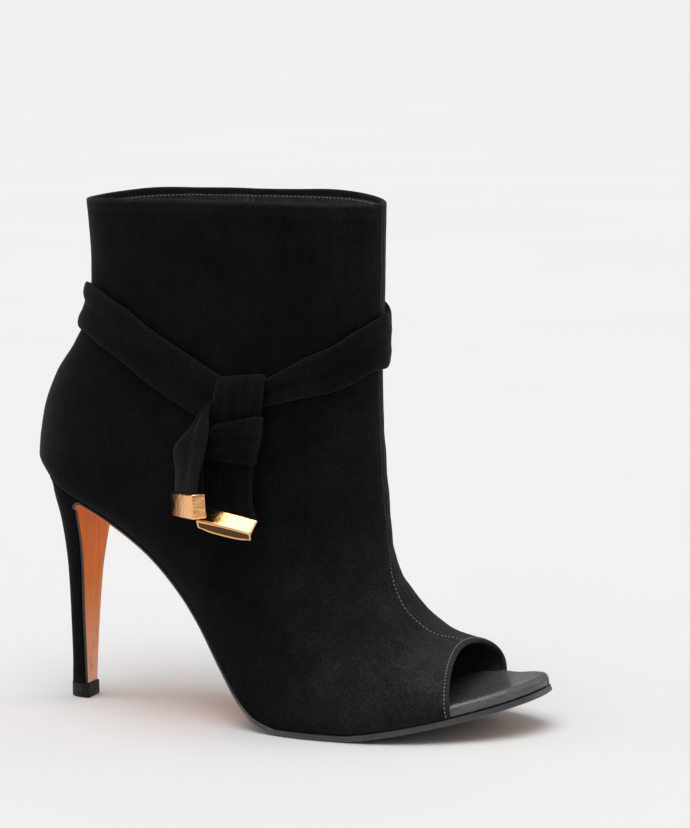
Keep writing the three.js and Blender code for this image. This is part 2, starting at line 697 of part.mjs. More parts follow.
// The strap round the ankle, open where its ends meet under the knot
function makeStrap() {
  const sectionAt = (side, around, share) => {
    const height = seatHeight + share * shaftHeight;
    const heightAt = (where) => upperPoint(upperSection(where), side, around, 0).z;
    return upperSection(search(0, 1, (where) => heightAt(where) <= height));
  };
  const ring = (side, rows, around) => {
    const top = read(rows, 'around', around, 'top');
    const bottom = read(rows, 'around', around, 'bottom');
    const line = (outward) => {
      const points = [];
      for (let i = 0; i <= strapRows.across; i += 1) {
        const section = sectionAt(side, around, mix(bottom, top, i / strapRows.across));
        points.push(upperPoint(section, side, around, outward));
      }
      return points;
    };
    return [...line(strapGap), ...line(strapGap + strapThickness).reverse()];
  };
  const rings = [];
  const run = (side, rows, from, to, count) => {
    for (let i = 0; i <= count; i += 1) rings.push(ring(side, rows, mix(from, to, i / count)));
  };
  run('outer', strapOuterRear, strapEnds.rear, 0, strapRows.rear);
  rings.pop();
  run('inner', strapInner, 0, 1, strapRows.inner);
  rings.pop();
  run('outer', strapOuterFront, 1, strapEnds.front, strapRows.front);
  return loft(rings);
}

// Where a strip of suede lies over the boot's outer side, and which way it faces
function stripFrame(row) {
  const x = knotAlong + row.along * bandWidth;
  const z = knotUp + row.up * bandWidth;
  const { base, along, rise, out } = outerFrame(x, z);
  const lean = radians(row.lean);
  const turn = radians(row.turn);
  const tilt = radians(row.tilt);
  const flat = along.clone().multiplyScalar(Math.cos(lean)).addScaledVector(rise, Math.sin(lean));
  const across = flat.clone().multiplyScalar(Math.cos(turn)).addScaledVector(out, Math.sin(turn));
  const down = flat.clone().cross(out).normalize();
  const square = down.clone().cross(across).normalize();
  const face = square.clone().multiplyScalar(Math.cos(tilt)).addScaledVector(down, Math.sin(tilt));
  return {
    centre: base.clone().addScaledVector(out, (row.lift + 0.5) * strapThickness),
    across,
    face,
    length: across.clone().cross(face).normalize(),
  };
}

const shifted = (frame, distance) => ({
  ...frame,
  centre: frame.centre.clone().addScaledVector(frame.length, distance),
});

const spread = [-1, -0.96, -0.75, -0.4, 0.4, 0.75, 0.96, 1]; // places across a strip's half widths

// A ring whose lower and upper edge are given over the width
function flatRing(frame, half, lower, upper) {
  const { centre, across, face } = frame;
  const at = (u, v) => centre.clone().addScaledVector(across, u * half).addScaledVector(face, v);
  return [...spread.map((u) => at(u, lower(u))), ...spread.map((u) => at(-u, upper(-u)))];
}

function stripRing(frame, row) {
  const edge = (u) => (Math.abs(u) === 1 ? stripEdge : 1) * strapThickness / 2;
  const bow = (u) => row.bow * bandWidth * (1 - u * u);
  return flatRing(frame, row.half * bandWidth, (u) => bow(u) - edge(u), (u) => bow(u) + edge(u));
}

const stripEnd = (rows) => ({ ...flatStrip, ...rows[rows.length - 1] });

// The rear tail with its lifts, which bring its tip clear of the front one
function liftedRearTail() {
  const front = stripFrame(stripEnd(frontTailRows)).centre;
  const end = stripEnd(rearTailRows);
  const { base, out } = outerFrame(knotAlong + end.along * bandWidth, knotUp + end.up * bandWidth);
  const tipLift = (tipsApart - base.sub(front).dot(out)) / strapThickness - 0.5;
  return rearTailRows.map((row) => ({ ...row, lift: mix(rearTailLift, tipLift, row.swing) }));
}

// A strip of suede through the rows of a table, with a straight end where it enters a metal tip
function makeStrip(rows, count, straight = 0) {
  const keyed = rows.map((row, i) => ({ ...flatStrip, ...row, key: i }));
  const columns = Object.keys(keyed[0]).filter((column) => column !== 'key');
  const rings = [];
  for (let i = 0; i <= count; i += 1) {
    const key = mix(0, rows.length - 1, i / count);
    const row = {};
    for (const column of columns) row[column] = read(keyed, 'key', key, column);
    rings.push(stripRing(stripFrame(row), row));
  }
  const end = stripEnd(rows);
  if (straight > 0) rings.push(stripRing(shifted(stripFrame(end), straight), end));
  return loft(rings);
}

// Metal cap on the end of a tail: flat outside, curved on the side of the boot, with a pocket that
// takes the suede
function makeTip(rows) {
  const end = stripEnd(rows);
  const frame = stripFrame(end);
  const slot = strapThickness / 2 + gap;
  const slotEdge = (u) => (Math.abs(u) === 1 ? tipMouthEdge : 1) * slot;
  const fit = end.half * bandWidth + gap;
  const pocket = (distance) => flatRing(shifted(frame, distance), fit, (u) => -slotEdge(u), slotEdge);
  const cap = (distance, inset) => {
    const belly = (u) => {
      const round = Math.sqrt(Math.max(0, 1 - Math.abs(u) ** tipBellyFullness));
      return -(tipDepth * tipBelly - inset) * Math.max(tipBellyEdge, round);
    };
    const front = (u) => (tipDepth * (1 - tipBelly) - inset) * (Math.abs(u) === 1 ? tipFrontEdge : 1);
    return flatRing(shifted(frame, distance), tipWidth / 2 - inset, belly, front);
  };
  const floor = tailStraight + gap;
  const mouth = floor - tipPocket;
  const foot = mouth + tipLength;
  return loft([pocket(floor), pocket(mouth), cap(mouth, 0), cap(foot - tipEdge, 0), cap(foot, tipEdge)]);
}

function material(color, roughness, metalness) {
  return new THREE.MeshStandardMaterial({ color, roughness, metalness, side: THREE.DoubleSide });
}

const suede = material(0x17161a, 0.95, 0);
const lining = material(0x2b2b2d, 0.45, 0);
const soleLeather = material(0xb8643a, 0.4, 0);
const rubber = material(0x101012, 0.7, 0);
const gold = material(0xd9ab5c, 0.2, 1);

const shoe = new THREE.Group();
const rearTail = liftedRearTail();

function place(name, geometry, look) {
  const mesh = new THREE.Mesh(geometry, look);
  mesh.name = name;
  shoe.add(mesh);
}

place('upper', makeUpper(), suede);
place('insole', makeInsole(), lining);
place('outsole', makeOutsole(), soleLeather);
place('heel', makeHeel(), suede);
place('heel_top_piece', makeTopPiece(), rubber);
place('ankle_strap', makeStrap(), suede);
place('knot_loop', makeStrip(loopRows, stripRows.loop), suede);
place('knot_wrap', makeStrip(wrapRows, stripRows.wrap), suede);
place('tail_front', makeStrip(frontTailRows, stripRows.tail, tailStraight), suede);
place('tail_rear', makeStrip(rearTail, stripRows.tail, tailStraight), suede);
place('tip_front', makeTip(frontTailRows), gold);
place('tip_rear', makeTip(rearTail), gold);

// The part's origin lies on the floor, under the middle of the whole shoe
const bounds = new THREE.Box3().setFromObject(shoe);
const middle = bounds.getCenter(new THREE.Vector3());
shoe.position.set(-middle.x, -middle.y, -bounds.min.z);

export default shoe;
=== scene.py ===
"""Peep toe ankle boot with a stiletto heel and a knotted ankle strap: its visible pieces and the stage.

The shoe's own measures are millimetres: X runs from the heel cup to the toe, Y to the inner side of the
foot and Z up from the floor. Each mesh is moved from them into the frame's metres when it is made.
"""

import math
import random
from types import SimpleNamespace

import bmesh
import bpy
import numpy as np
from bpy.props import FloatProperty, FloatVectorProperty, PointerProperty
from mathutils import Matrix, Vector, noise
from mathutils.bvhtree import BVHTree


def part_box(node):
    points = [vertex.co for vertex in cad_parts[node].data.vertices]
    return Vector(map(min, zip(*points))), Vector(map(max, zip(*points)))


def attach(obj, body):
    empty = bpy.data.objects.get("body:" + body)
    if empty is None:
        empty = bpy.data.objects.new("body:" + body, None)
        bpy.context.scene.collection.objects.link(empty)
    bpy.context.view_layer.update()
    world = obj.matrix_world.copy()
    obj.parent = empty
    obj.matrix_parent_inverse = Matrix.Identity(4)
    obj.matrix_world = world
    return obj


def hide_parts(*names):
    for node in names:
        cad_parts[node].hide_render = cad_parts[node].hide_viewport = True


bl_info = {
    "name": "Peep toe ankle boot",
    "version": (1, 0, 0),
    "blender": (4, 5, 0),
    "location": "3D View > Sidebar > Boot",
    "description": "Builds a suede ankle boot with an open toe, a slim heel and a knotted strap",
    "category": "Object",
}

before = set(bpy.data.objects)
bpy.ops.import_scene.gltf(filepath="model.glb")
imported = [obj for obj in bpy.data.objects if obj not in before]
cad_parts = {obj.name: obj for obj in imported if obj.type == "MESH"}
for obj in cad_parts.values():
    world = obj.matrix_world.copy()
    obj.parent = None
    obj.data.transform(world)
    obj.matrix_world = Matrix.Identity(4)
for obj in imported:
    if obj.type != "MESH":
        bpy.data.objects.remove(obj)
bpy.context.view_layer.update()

# Overall sizes of the shoe
FOOT_LENGTH = 219.0
SEAT_HEIGHT = 96.0
BOOT_HEIGHT = 211.5
BALL_WIDTH = 76.5
SEAT_WIDTH = 42.0
COLLAR_LENGTH = 130.0
COLLAR_WIDTH = 43.0
COLLAR_BACK = 23.2
THROAT = 153.5
ARCH_LENGTH = 119.0
TREAD_END = 148.0
TOE_LENGTH = 59.0
TOE_SPRING = 15.0
SPRING_BEND = 1.25
TOE_INWARD = 12.0
OPENING_PLACE = 189.0
OPENING_TOP = 33.8
OPENING_HEIGHT = 33.6
OPENING_BOW = {"outer": 2.3, "inner": 4.2}
OPENING_BOW_FROM = 0.6
COLLAR_RISE = {"outer": 1.2, "inner": 3.4}
COLLAR_RISE_FROM = 0.55
SHAFT_HEIGHT = BOOT_HEIGHT - SEAT_HEIGHT

# Thicknesses and clearances
WALL = 2.0
SOLE_THICKNESS = 2.5
FLAP_THICKNESS = 1.3
STRAP_THICKNESS = 2.4
GAP = 0.3
CURVED_GAP = 0.45
STRAP_GAP = 0.7
LINING_GAP = 0.12
EDGE_MARGIN = 0.9
SKIN_TUCK_IN = 0.25
SKIN_TUCK_DOWN = 0.34
END_CUT = 0.15

# Insole
INSOLE_THICKNESS = 4.8
INSOLE_GAP = 0.9
INSOLE_FLARE = 0.7
INSOLE_MARGIN = 0.25
INSOLE_ROUNDING = 2.3
INSOLE_BACK = 3.2
INSOLE_DISH = 0.3
RIM_AT_SOLE = {"outer": 189.5, "inner": 191.6}

# Sole's edge along the arch, which shows less of its thickness
ARCH_EDGE = 0.75
ARCH_EDGE_FROM = 92.0
ARCH_EDGE_STRETCH = 42.0

# Heel
SEAT_BACK = 4.4
BREAST = 22.2
HEEL_ROUNDNESS = 2.3
HEEL_CORNER = 0.45
CORNER_RADIUS = 2.5
CORNER_ROOM = 0.2
FLAP_MARGIN = 0.5
FLAP_GAP = 0.04
FLAP_STRETCH = 20.0
FLAP_EDGE_INSET = 0.35
TOP_PIECE_HEIGHT = 6.1
TOP_PIECE_MARGIN = 0.3
TOP_PIECE_CORNER = 0.5
HEEL_FOOT = TOP_PIECE_HEIGHT + GAP

# Knot, tails and tips
BAND_WIDTH = 22.0
TIP_WIDTH = 24.0
TIP_DEPTH = 6.4
TIP_LENGTH = {"front": 8.0, "rear": 10.0}
TIP_SIDE_DEPTH = {"front": 0.6, "rear": 0.9}
TIP_POCKET = 3.0
TIP_BELLY = 0.62
TIP_CROWN = 0.45
TIP_CORNER = 0.9
TIPS_APART = 10.2
TAIL_STRAIGHT = TIP_POCKET + 0.7
REAR_TAIL_LIFT = 2.2
KNOT_ALONG = 0.668 * THROAT
KNOT_UP = SEAT_HEIGHT + 0.26 * SHAFT_HEIGHT

# Fineness of the meshes
SHAFT_ROWS, FOOT_ROWS, SIDE_POINTS = 96, 130, 84
SECTION_STEPS, TURN_WEIGHT = 60, 0.22
INSOLE_STRIPS, SOLE_STRIPS = 14, 6
FLAP_BEND_RINGS, FLAP_RINGS = 12, 49
# Y from which rays are sent to the outer side
RAYS_FROM = -200.0

# View of the photograph, in the shoe's own measures and degrees
CAMERA_EYE = (608.7, -1175.6, 317.6)
CAMERA_YAW, CAMERA_PITCH, CAMERA_ROLL = 21.9, 8.6, -0.54
CAMERA_LENS, CAMERA_SENSOR = 137.96, 36.0
FLOOR_REACH = 30.0

SIDES = {"outer": -1, "inner": 1}
# What a mesh's point says where its piece doesn't say otherwise; a seam is then far away
FAR = 60.0
PLAIN_FIELDS = {
    "rub": 0.0, "shade": 0.0, "brushed": 0.0, "wrinkled": 0.0, "front_seam": FAR, "inner_seam": FAR,
}
# The rub field lightens rims, edges and fold crests: some rubbed nap and a painted highlight
SUEDE_FIELDS = ("rub", "front_seam", "inner_seam")


class Table:
    """Rows of numbers, read between them along a smooth line without overshoot."""

    def __init__(self, columns, rows):
        names = columns.split()
        self.columns = {name: np.array([row[i] for row in rows], float) for i, name in enumerate(names)}
        self.key = self.columns[names[0]]

    def read(self, place, column):
        key, values = self.key, self.columns[column]
        place = np.asarray(place, float)
        slopes = np.diff(values) / np.diff(key)
        tangents = np.zeros(len(values))
        tangents[0], tangents[-1] = slopes[0], slopes[-1]
        both = slopes[:-1] * slopes[1:]
        total = np.where(both > 0, slopes[:-1] + slopes[1:], 1)
        tangents[1:-1] = np.where(both > 0, 2 * both / total, 0)
        row = np.clip(np.searchsorted(key, place, side="left") - 1, 0, len(key) - 2)
        span = key[row + 1] - key[row]
        t = np.clip((place - key[row]) / span, 0, 1)
        ends = (2 * t**3 - 3 * t**2 + 1) * values[row] + (3 * t**2 - 2 * t**3) * values[row + 1]
        leans = (t**3 - 2 * t**2 + t) * tangents[row] + (t**3 - t**2) * tangents[row + 1]
        return ends + leans * span

    def row(self, place):
        """Every column at one place, by name."""
        return {name: float(self.read(place, name)) for name in self.columns}


OUTLINE = Table("at outer inner", [
    (0.0, 0.275, 0.275), (0.171, 0.275, 0.272), (0.252, 0.28, 0.255), (0.342, 0.315, 0.25),
    (0.433, 0.405, 0.29), (0.524, 0.485, 0.375), (0.614, 0.516, 0.455), (0.685, 0.508, 0.495),
    (0.765, 0.485, 0.508), (1.0, 0.47, 0.505),
])
TOE_FULLNESS = {"outer": 1.5, "inner": 1.85}
ARCH_RISE = Table("at rise", [
    (0.028, 1.0), (0.202, 0.91), (0.335, 0.823), (0.47, 0.705), (0.597, 0.55), (0.697, 0.39),
    (0.782, 0.228), (0.858, 0.098), (0.925, 0.03), (1.0, 0.0),
])
SHAFT = Table("up back front front_up wide", [
    (0.0, SEAT_BACK / COLLAR_BACK, 1.0, -0.065, 0.647),
    (0.078, 0.0, 0.995, 0.02, 0.635),
    (0.222, 0.086, 0.9885, 0.17, 0.605),
    (0.372, 0.362, 0.9853, 0.33, 0.567),
    (0.485, 0.733, 0.985, 0.46, 0.54),
    (0.64, 1.08, 0.99, 0.65, 0.519),
    (0.775, 1.084, 0.9935, 0.79, 0.507),
    (1.0, 1.0, (COLLAR_BACK + COLLAR_LENGTH) / THROAT, 1.0, 0.5),
])
SHAFT_BULGE = Table("up widest back_full front_full", [
    (0.0, 0.4, 3.4, 4.5), (0.22, 0.44, 3.5, 4.6), (0.64, 0.49, 3.6, 4.9), (1.0, 0.5, 3.6, 5.0),
])
THROAT_INWARD = 1.0
ANKLE_HALF = 0.647 * COLLAR_WIDTH / BALL_WIDTH
FOOT = Table("at front fall ridge outer inner", [
    (0.0, 0.0, 0.0, THROAT_INWARD / BALL_WIDTH, ANKLE_HALF, ANKLE_HALF),
    (0.07, 0.017, 0.136, 0.013, 0.369, 0.366),
    (0.15, 0.028, 0.255, 0.02, 0.376, 0.369),
    (0.27, 0.056, 0.419, 0.04, 0.398, 0.377),
    (0.38, 0.1, 0.552, 0.07, 0.432, 0.385),
    (0.48, 0.18, 0.645, 0.1, 0.475, 0.407),
    (0.58, 0.327, 0.76, 0.11, 0.519, 0.443),
    (0.68, 0.493, 0.854, 0.11, 0.546, 0.477),
    (0.78, 0.67, 0.932, 0.11, 0.541, 0.497),
    (0.89, 0.846, 0.976, 0.11, 0.483, 0.502),
    (1.0, 1.0, 1.0, 0.105, 0.386, 0.475),
])
FOOT_BULGE = Table("at widest back_full front_full", [
    (0.0, 0.4, 3.4, 4.5), (0.07, 0.38, 3.0, 4.3), (0.15, 0.36, 2.6, 4.1), (0.3, 0.36, 2.3, 3.75),
    (0.48, 0.34, 2.1, 3.4), (0.68, 0.27, 2.0, 2.8), (1.0, 0.25, 2.0, 2.0),
])
HEEL = Table("up back front wide follow", [
    (0.0733, 0.502, 0.844, 0.119, 0.0), (0.22, 0.526, 0.856, 0.146, 0.0), (0.42, 0.526, 0.879, 0.19, 0.0),
    (0.62, 0.512, 0.919, 0.238, 0.1), (0.76, 0.478, 0.961, 0.305, 0.2), (0.87, 0.43, 0.988, 0.385, 0.45),
    (0.95, 0.342, 1.0, 0.45, 0.8), (1.0, 0.262, 1.0, 0.475, 1.0),
])
STRAP_OUTER_REAR = Table("around top bottom", [
    (0.0, 0.684, 0.525), (0.18, 0.699, 0.533), (0.286, 0.645, 0.485), (0.37, 0.572, 0.42),
    (0.452, 0.497, 0.333), (0.536, 0.405, 0.24), (0.6, 0.35, 0.205),
])
STRAP_OUTER_FRONT = Table("around top bottom", [
    (0.615, 0.4, 0.303), (0.69, 0.476, 0.337), (0.76, 0.522, 0.36), (0.821, 0.562, 0.382),
    (0.929, 0.595, 0.416), (1.0, 0.628, 0.428),
])
STRAP_INNER = Table("around top bottom", [
    (0.0, 0.684, 0.525), (0.25, 0.7, 0.54), (0.5, 0.697, 0.53), (0.8, 0.65, 0.47), (1.0, 0.62, 0.425),
])
STRAP_ENDS = {"rear": 0.6, "front": 0.615}
STRAP_TURNS = {"back": 0.27, "front": 0.8}

# Strips of the knot: along, up, half and bow are shares of the band's width, lift is in thicknesses of
# the strap, and lean, turn and tilt are degrees
STRIP_COLUMNS = "key along up lift half lean turn tilt bow"
LOOP = [
    (0.018, 0.745, 1.15, 0.464, 6, 0, -85, 0), (0.014, 0.736, 1.6, 0.473, 6, 0, -55, 0),
    (0.009, 0.673, 1.9, 0.482, 6, 0, -25, 0.014), (-0.014, 0.5, 2.05, 0.495, 7, 0, 0, 0.023),
    (-0.045, 0.25, 1.85, 0.5, 9, 0, 0, 0.018), (-0.08, -0.036, 1.6, 0.5, 11, 0, 0, 0),
]
WRAP = [
    (0.01, -0.045, 2.7, 0.51, 12, 0, -35, 0), (0.0, -0.164, 2.95, 0.514, 10.5, 0, -8, 0.018),
    (-0.023, -0.364, 2.9, 0.505, 6, 0, 0, 0.027), (-0.068, -0.59, 2.75, 0.486, 0, 0, 5, 0.023),
    (-0.09, -0.755, 2.45, 0.468, -3, 0, 30, 0),
]
TAIL_FRONT = [
    (-0.1, -0.14, 1.5, 0.49, 9, 0, 0, 0), (-0.17, -0.41, 1.4, 0.495, 4, 0, 0, 0),
    (-0.23, -0.77, 1.2, 0.5, -2, 0, 0, 0.014), (-0.26, -1.2, 1.05, 0.5, -6, 0, -4, 0.014),
    (-0.2, -1.56, 1.6, 0.5, -9, 0, -24, 0), (-0.09, -1.73, 2.35, 0.5, -10, 0, -47, 0),
]
TAIL_REAR = [
    (-0.575, 0.32, 0, 0.04, 24, 20, 0, 0), (-0.7, -0.02, 0, 0.24, 30, 24, 0, 0.02),
    (-0.83, -0.38, 0, 0.49, 18, 27, 0, 0.03), (-0.855, -0.68, 0, 0.5, 6, 34, 0, 0),
    (-0.83, -0.98, 0, 0.495, 4, 42, 0, 0), (-0.8, -1.26, 0, 0.5, 4, 45, 0, 0),
]
TAIL_REAR_SWING = (0, 0.19, 0.357, 0.524, 0.738, 1)

# Creases of the suede, each from one point of the side view to another: x, z, x, z, half width, depth.
# A negative depth makes a ridge.
CREASES = {
    "outer": [
        (128, 122, 152, 116, 3.2, 0.42), (126, 116, 152, 109, 2.6, -0.3), (122, 110, 153, 101, 3.4, 0.4),
        (134, 101, 154, 95, 2.4, -0.25), (136, 92, 156, 86, 3.0, 0.35), (140, 80, 158, 73, 3.0, 0.3),
        (150, 62, 166, 58, 2.4, 0.26), (152, 50, 172, 45, 2.8, 0.24), (148, 34, 168, 26, 3.2, 0.22),
        (14, 128, 40, 116, 4.0, 0.4), (8, 117, 36, 108, 3.4, -0.25), (6, 108, 30, 102, 3.6, 0.3),
        (40, 190, 44, 150, 6.0, 0.35), (118, 196, 112, 158, 7.0, 0.35), (72, 204, 84, 172, 8.0, -0.3),
    ],
    "inner": [
        (126, 124, 152, 117, 3.4, 0.45), (124, 116, 152, 109, 2.6, -0.3), (118, 109, 153, 100, 3.4, 0.42),
        (132, 98, 155, 92, 2.6, -0.25), (134, 88, 157, 82, 3.2, 0.35), (142, 74, 160, 68, 2.8, 0.28),
        (152, 56, 170, 50, 2.8, 0.26), (146, 34, 168, 26, 3.2, 0.22), (14, 128, 42, 115, 4.0, 0.42),
        (6, 110, 34, 103, 3.6, 0.32), (46, 196, 52, 150, 6.0, 0.35), (112, 198, 106, 160, 7.0, 0.35),
    ],
}
# Unevenness of the suede: depth, length of the waves and seed
UNEVENNESS = [(0.28, 24, 1), (0.1, 9, 2)]
CALM_ROWS, CALM_SHARE = 6, 0.2
# Unevenness of the collar's rim, up and down and sideways, and how far down it reaches
COLLAR_SWAY, COLLAR_SWAY_SIDEWAYS, COLLAR_SWAY_DEPTH = 0.8, 0.5, 14.0
# The front seam's distance from the ridge at a height; it runs on the outer side of it over the toes
FRONT_SEAM = Table("up away", [
    (33.6, 1.6), (34.7, 1.4), (35.7, -0.5), (37.1, -4.0), (40.7, -7.2), (46.3, -8.0), (53.9, -6.2),
    (60, -2.6), (75, -0.2), (92, -0.6), (130, -0.2), (216, -0.2),
])
# Seam on the inner side: x at a height
INNER_SEAM = Table("up x", [(20, 96), (45, 88), (80, 84), (120, 86), (170, 87), (216, 87)])
# A stitch from end to end: share of its length, thickness and height, both in radii of the thread
STITCH_SHAPE = [
    (-0.5, 0.25, -0.5), (-0.38, 0.85, 0.25), (0, 1.0, 0.55), (0.38, 0.85, 0.25), (0.5, 0.25, -0.5),
]
# Height and inset of the top piece's levels; the shallow groove marks where it was moulded
TOP_PIECE_LEVELS = [
    (0.0, 0.45), (0.12, 0.2), (0.4, 0.0), (2.6, 0.0), (2.75, 0.1), (2.9, 0.0), (5.6, 0.0), (5.95, 0.12),
    (TOP_PIECE_HEIGHT, 0.4),
]
# Height and inset of the sole's edge, with the sole's upper face at 0 and one thickness as the unit
SOLE_EDGE = [
    (-1, 0.55), (-0.95, 0.22), (-0.85, 0.03), (-0.55, 0.0), (-0.42, 0.22), (-0.37, 0.26), (-0.32, 0.12),
    (-0.18, 0.08), (-0.04, 0.2), (0.0, 0.5),
]
SOLE_SLANT = 1.6
INSOLE_FOOT = [(0.0, 0.7), (0.2, 0.25), (0.8, 0.05)]
# Levels of a tip by its mouth: distance past the mouth, inset and rub, a painted highlight on the rim
TIP_MOUTH = [(0.5, 1.5, 0), (0.12, 1.35, 0), (0, 1.1, 0), (0, 0.55, 0.6), (0.15, 0.2, 0.6), (0.5, 0, 0.6)]
TIP_MOUTH_FLOOR = 1.75
# Levels of a tip by its end, which is a rim round a recess: distance before the end, inset, rub and shade
# rub is a painted highlight on the end's rim and shade is painted shade in the recess
TIP_END = [
    (0.55, 0, 1, 0), (0.2, 0.12, 1, 0), (0.04, 0.35, 1, 0), (0, 0.6, 1, 0), (0, 0.95, 1, 0),
    (0.06, 1.1, 0, 0), (0.35, 1.25, 0, 1), (0.42, 1.5, 0, 1),
]


def mix(a, b, share):
    return a + (b - a) * share


def rises(value, start, end):
    """Goes smoothly from 0 to 1 between two values."""
    t = np.clip((value - start) / (end - start), 0, 1)
    return t * t * (3 - 2 * t)


def falls(value, start, end):
    return 1 - rises(value, start, end)


def hump(value, middle, width, height=1.0):
    return height * np.exp(-(((value - middle) / width) ** 2))


def unit(vectors):
    return vectors / np.maximum(np.linalg.norm(vectors, axis=-1, keepdims=True), 1e-9)


def cached(make):
    """Keeps what a function made the first time."""
    kept = []

    def get(*given):
        if not kept:
            kept.append(make(*given))
        return kept[0]

    return get


# Form of the last and the upper
def sole_edge(x, side, inset=0.0):
    """Y of the sole's edge on one side, or of an outline that lies inside it by an inset."""
    x = np.asarray(x, float)
    free = OUTLINE.read(x / FOOT_LENGTH, side) * BALL_WIDTH
    wide = mix(SEAT_WIDTH / 2, free, np.clip(x / BREAST - 1, 0, 1)) - inset
    back = np.clip((x - SEAT_BACK + EDGE_MARGIN - inset) / (SEAT_WIDTH / 2 - inset), 0, 1)
    taper = np.clip((x - FOOT_LENGTH + TOE_LENGTH) / (TOE_LENGTH - inset), 0, 1)
    toe = np.sqrt(1 - taper ** TOE_FULLNESS[side])
    return SIDES[side] * wide * np.sqrt(1 - (1 - back) ** 2) * toe + TOE_INWARD * (1 - toe)


def last_bottom(x):
    """Height of the last's underside."""
    x = np.asarray(x, float)
    rise = np.where(x > ARCH_LENGTH, 0, ARCH_RISE.read(np.minimum(x, ARCH_LENGTH) / ARCH_LENGTH, "rise"))
    ahead = np.clip((x - TREAD_END) / (FOOT_LENGTH - TREAD_END), 0, None)
    return SOLE_THICKNESS + (SEAT_HEIGHT - SOLE_THICKNESS) * rise + TOE_SPRING * ahead**SPRING_BEND


def over_last(x, y, distance):
    """Points at a distance over the last's underside."""
    x, y, distance = np.broadcast_arrays(np.asarray(x, float), y, distance)
    step = 0.5
    slope = (last_bottom(x + step) - last_bottom(x - step)) / (2 * step)
    long = np.sqrt(1 + slope**2)
    return np.stack([x - slope / long * distance, y, last_bottom(x) + distance / long], -1)


def shaft_section(up):
    shape = SHAFT.row(up)
    bulge = SHAFT_BULGE.row(up)
    wide = shape["wide"] * COLLAR_WIDTH
    end_height = SEAT_HEIGHT + shape["front_up"] * SHAFT_HEIGHT
    return {
        "start": np.array((shape["back"] * COLLAR_BACK, 0, SEAT_HEIGHT + up * SHAFT_HEIGHT)),
        "end": np.array((shape["front"] * THROAT, THROAT_INWARD, end_height)),
        "wide": {"outer": wide, "inner": wide}, "foot": {"outer": 0.0, "inner": 0.0},
        "bulge": [bulge[name] for name in ("widest", "back_full", "front_full")],
        "collar": float(np.clip((up - COLLAR_RISE_FROM) / (1 - COLLAR_RISE_FROM), 0, 1)) ** 2,
        "opening": 0.0,
    }


def foot_section(share):
    shape = FOOT.row(share)
    bulge = FOOT_BULGE.row(share)
    x = mix(SEAT_BACK, OPENING_PLACE, share)
    top_x = mix(THROAT, FOOT_LENGTH - OPENING_TOP, shape["front"])
    top_z = mix(SEAT_HEIGHT - 0.065 * SHAFT_HEIGHT, OPENING_HEIGHT, shape["fall"])
    foot = {side: max(0.0, float(sign * sole_edge(x, side, EDGE_MARGIN))) for side, sign in SIDES.items()}
    return {
        "start": over_last(x, 0, CURVED_GAP),
        "end": np.array([top_x, shape["ridge"] * BALL_WIDTH, top_z]),
        "wide": {side: max(shape[side] * BALL_WIDTH, foot[side] * 1.01) for side in SIDES},
        "foot": foot,
        "bulge": [bulge[name] for name in ("widest", "back_full", "front_full")],
        "collar": 0.0,
        "opening": float(np.clip((share - OPENING_BOW_FROM) / (1 - OPENING_BOW_FROM), 0, 1)) ** 2,
    }


def section_line(section, side, around):
    """Points of one half of a section, from the back or the sole (0) to the front ridge (1)."""
    wide, foot = section["wide"][side], section["foot"][side]
    widest, back_full, front_full = section["bulge"]
    axis = section["end"] - section["start"]
    length = np.linalg.norm(axis)
    cut = (1 - (foot / wide) ** 2) ** (1 / back_full)
    t = (np.arange(SECTION_STEPS + 1) / SECTION_STEPS) ** 2
    rear_out = wide * np.sqrt(np.clip(1 - ((1 - t) * cut) ** back_full, 0, 1))
    rear = np.stack([widest * t * length, rear_out], -1)
    t = t[-2::-1]
    ahead = np.stack([(1 - (1 - widest) * t) * length,
                      wide * np.sqrt(np.clip(1 - (1 - t) ** front_full, 0, 1))], -1)
    points = np.concatenate([rear, ahead])
    steps = np.diff(points, axis=0)
    lengths = np.maximum(np.linalg.norm(steps, axis=1), 1e-9)
    directions = steps / lengths[:, None]
    turns = np.arccos(np.clip((directions[1:] * directions[:-1]).sum(1), -1, 1))
    shares = lengths / length + TURN_WEIGHT * np.concatenate([[0], turns])
    marks = np.concatenate([[0], np.cumsum(shares)])
    marks /= marks[-1]
    reach = np.interp(around, marks, points[:, 0])
    out = np.interp(around, marks, points[:, 1])
    line = section["start"] + axis * (reach / length)[:, None]
    line[:, 1] += SIDES[side] * out
    sideways = np.minimum(1, out / wide) ** 2
    line[:, 2] += COLLAR_RISE[side] * section["collar"] * sideways
    if section["opening"] > 0:
        ahead_x = line[:, 0] + OPENING_BOW[side] * section["opening"] * sideways
        line[:, 2] += last_bottom(ahead_x) - last_bottom(line[:, 0])
        line[:, 0] = ahead_x
    return line


@cached
def upper_shape():
    """The upper's plain outer surface as a grid, with its normals and its distances to the seams."""
    around = np.arange(SIDE_POINTS + 1) / SIDE_POINTS
    sections = [shaft_section(up) for up in np.linspace(1, 0, SHAFT_ROWS + 1)[:-1]]
    sections += [foot_section(q * q * (2 - q)) for q in np.linspace(0, 1, FOOT_ROWS + 1)]
    points = np.array([
        np.concatenate([section_line(s, "outer", around), section_line(s, "inner", around)[-2::-1]])
        for s in sections])
    normals = unit(np.cross(np.gradient(points, axis=0), np.gradient(points, axis=1)))
    shaft = slice(0, SHAFT_ROWS)
    joined = unit(normals[shaft, 0] + normals[shaft, -1])
    normals[shaft, 0] = normals[shaft, -1] = joined
    steps = np.linalg.norm(np.diff(points, axis=1), axis=2)
    from_start = np.concatenate([np.zeros((len(points), 1)), np.cumsum(steps, axis=1)], axis=1)
    ridge = slice(SIDE_POINTS, SIDE_POINTS + 1)
    front = from_start - from_start[:, ridge] - FRONT_SEAM.read(points[:, ridge, 2], "away")
    inner = points[..., 0] - INNER_SEAM.read(points[..., 2], "x")
    inner = np.where(np.arange(points.shape[1]) > SIDE_POINTS, inner, FAR)
    return {"points": points, "normals": normals, "front": front, "inner": inner}


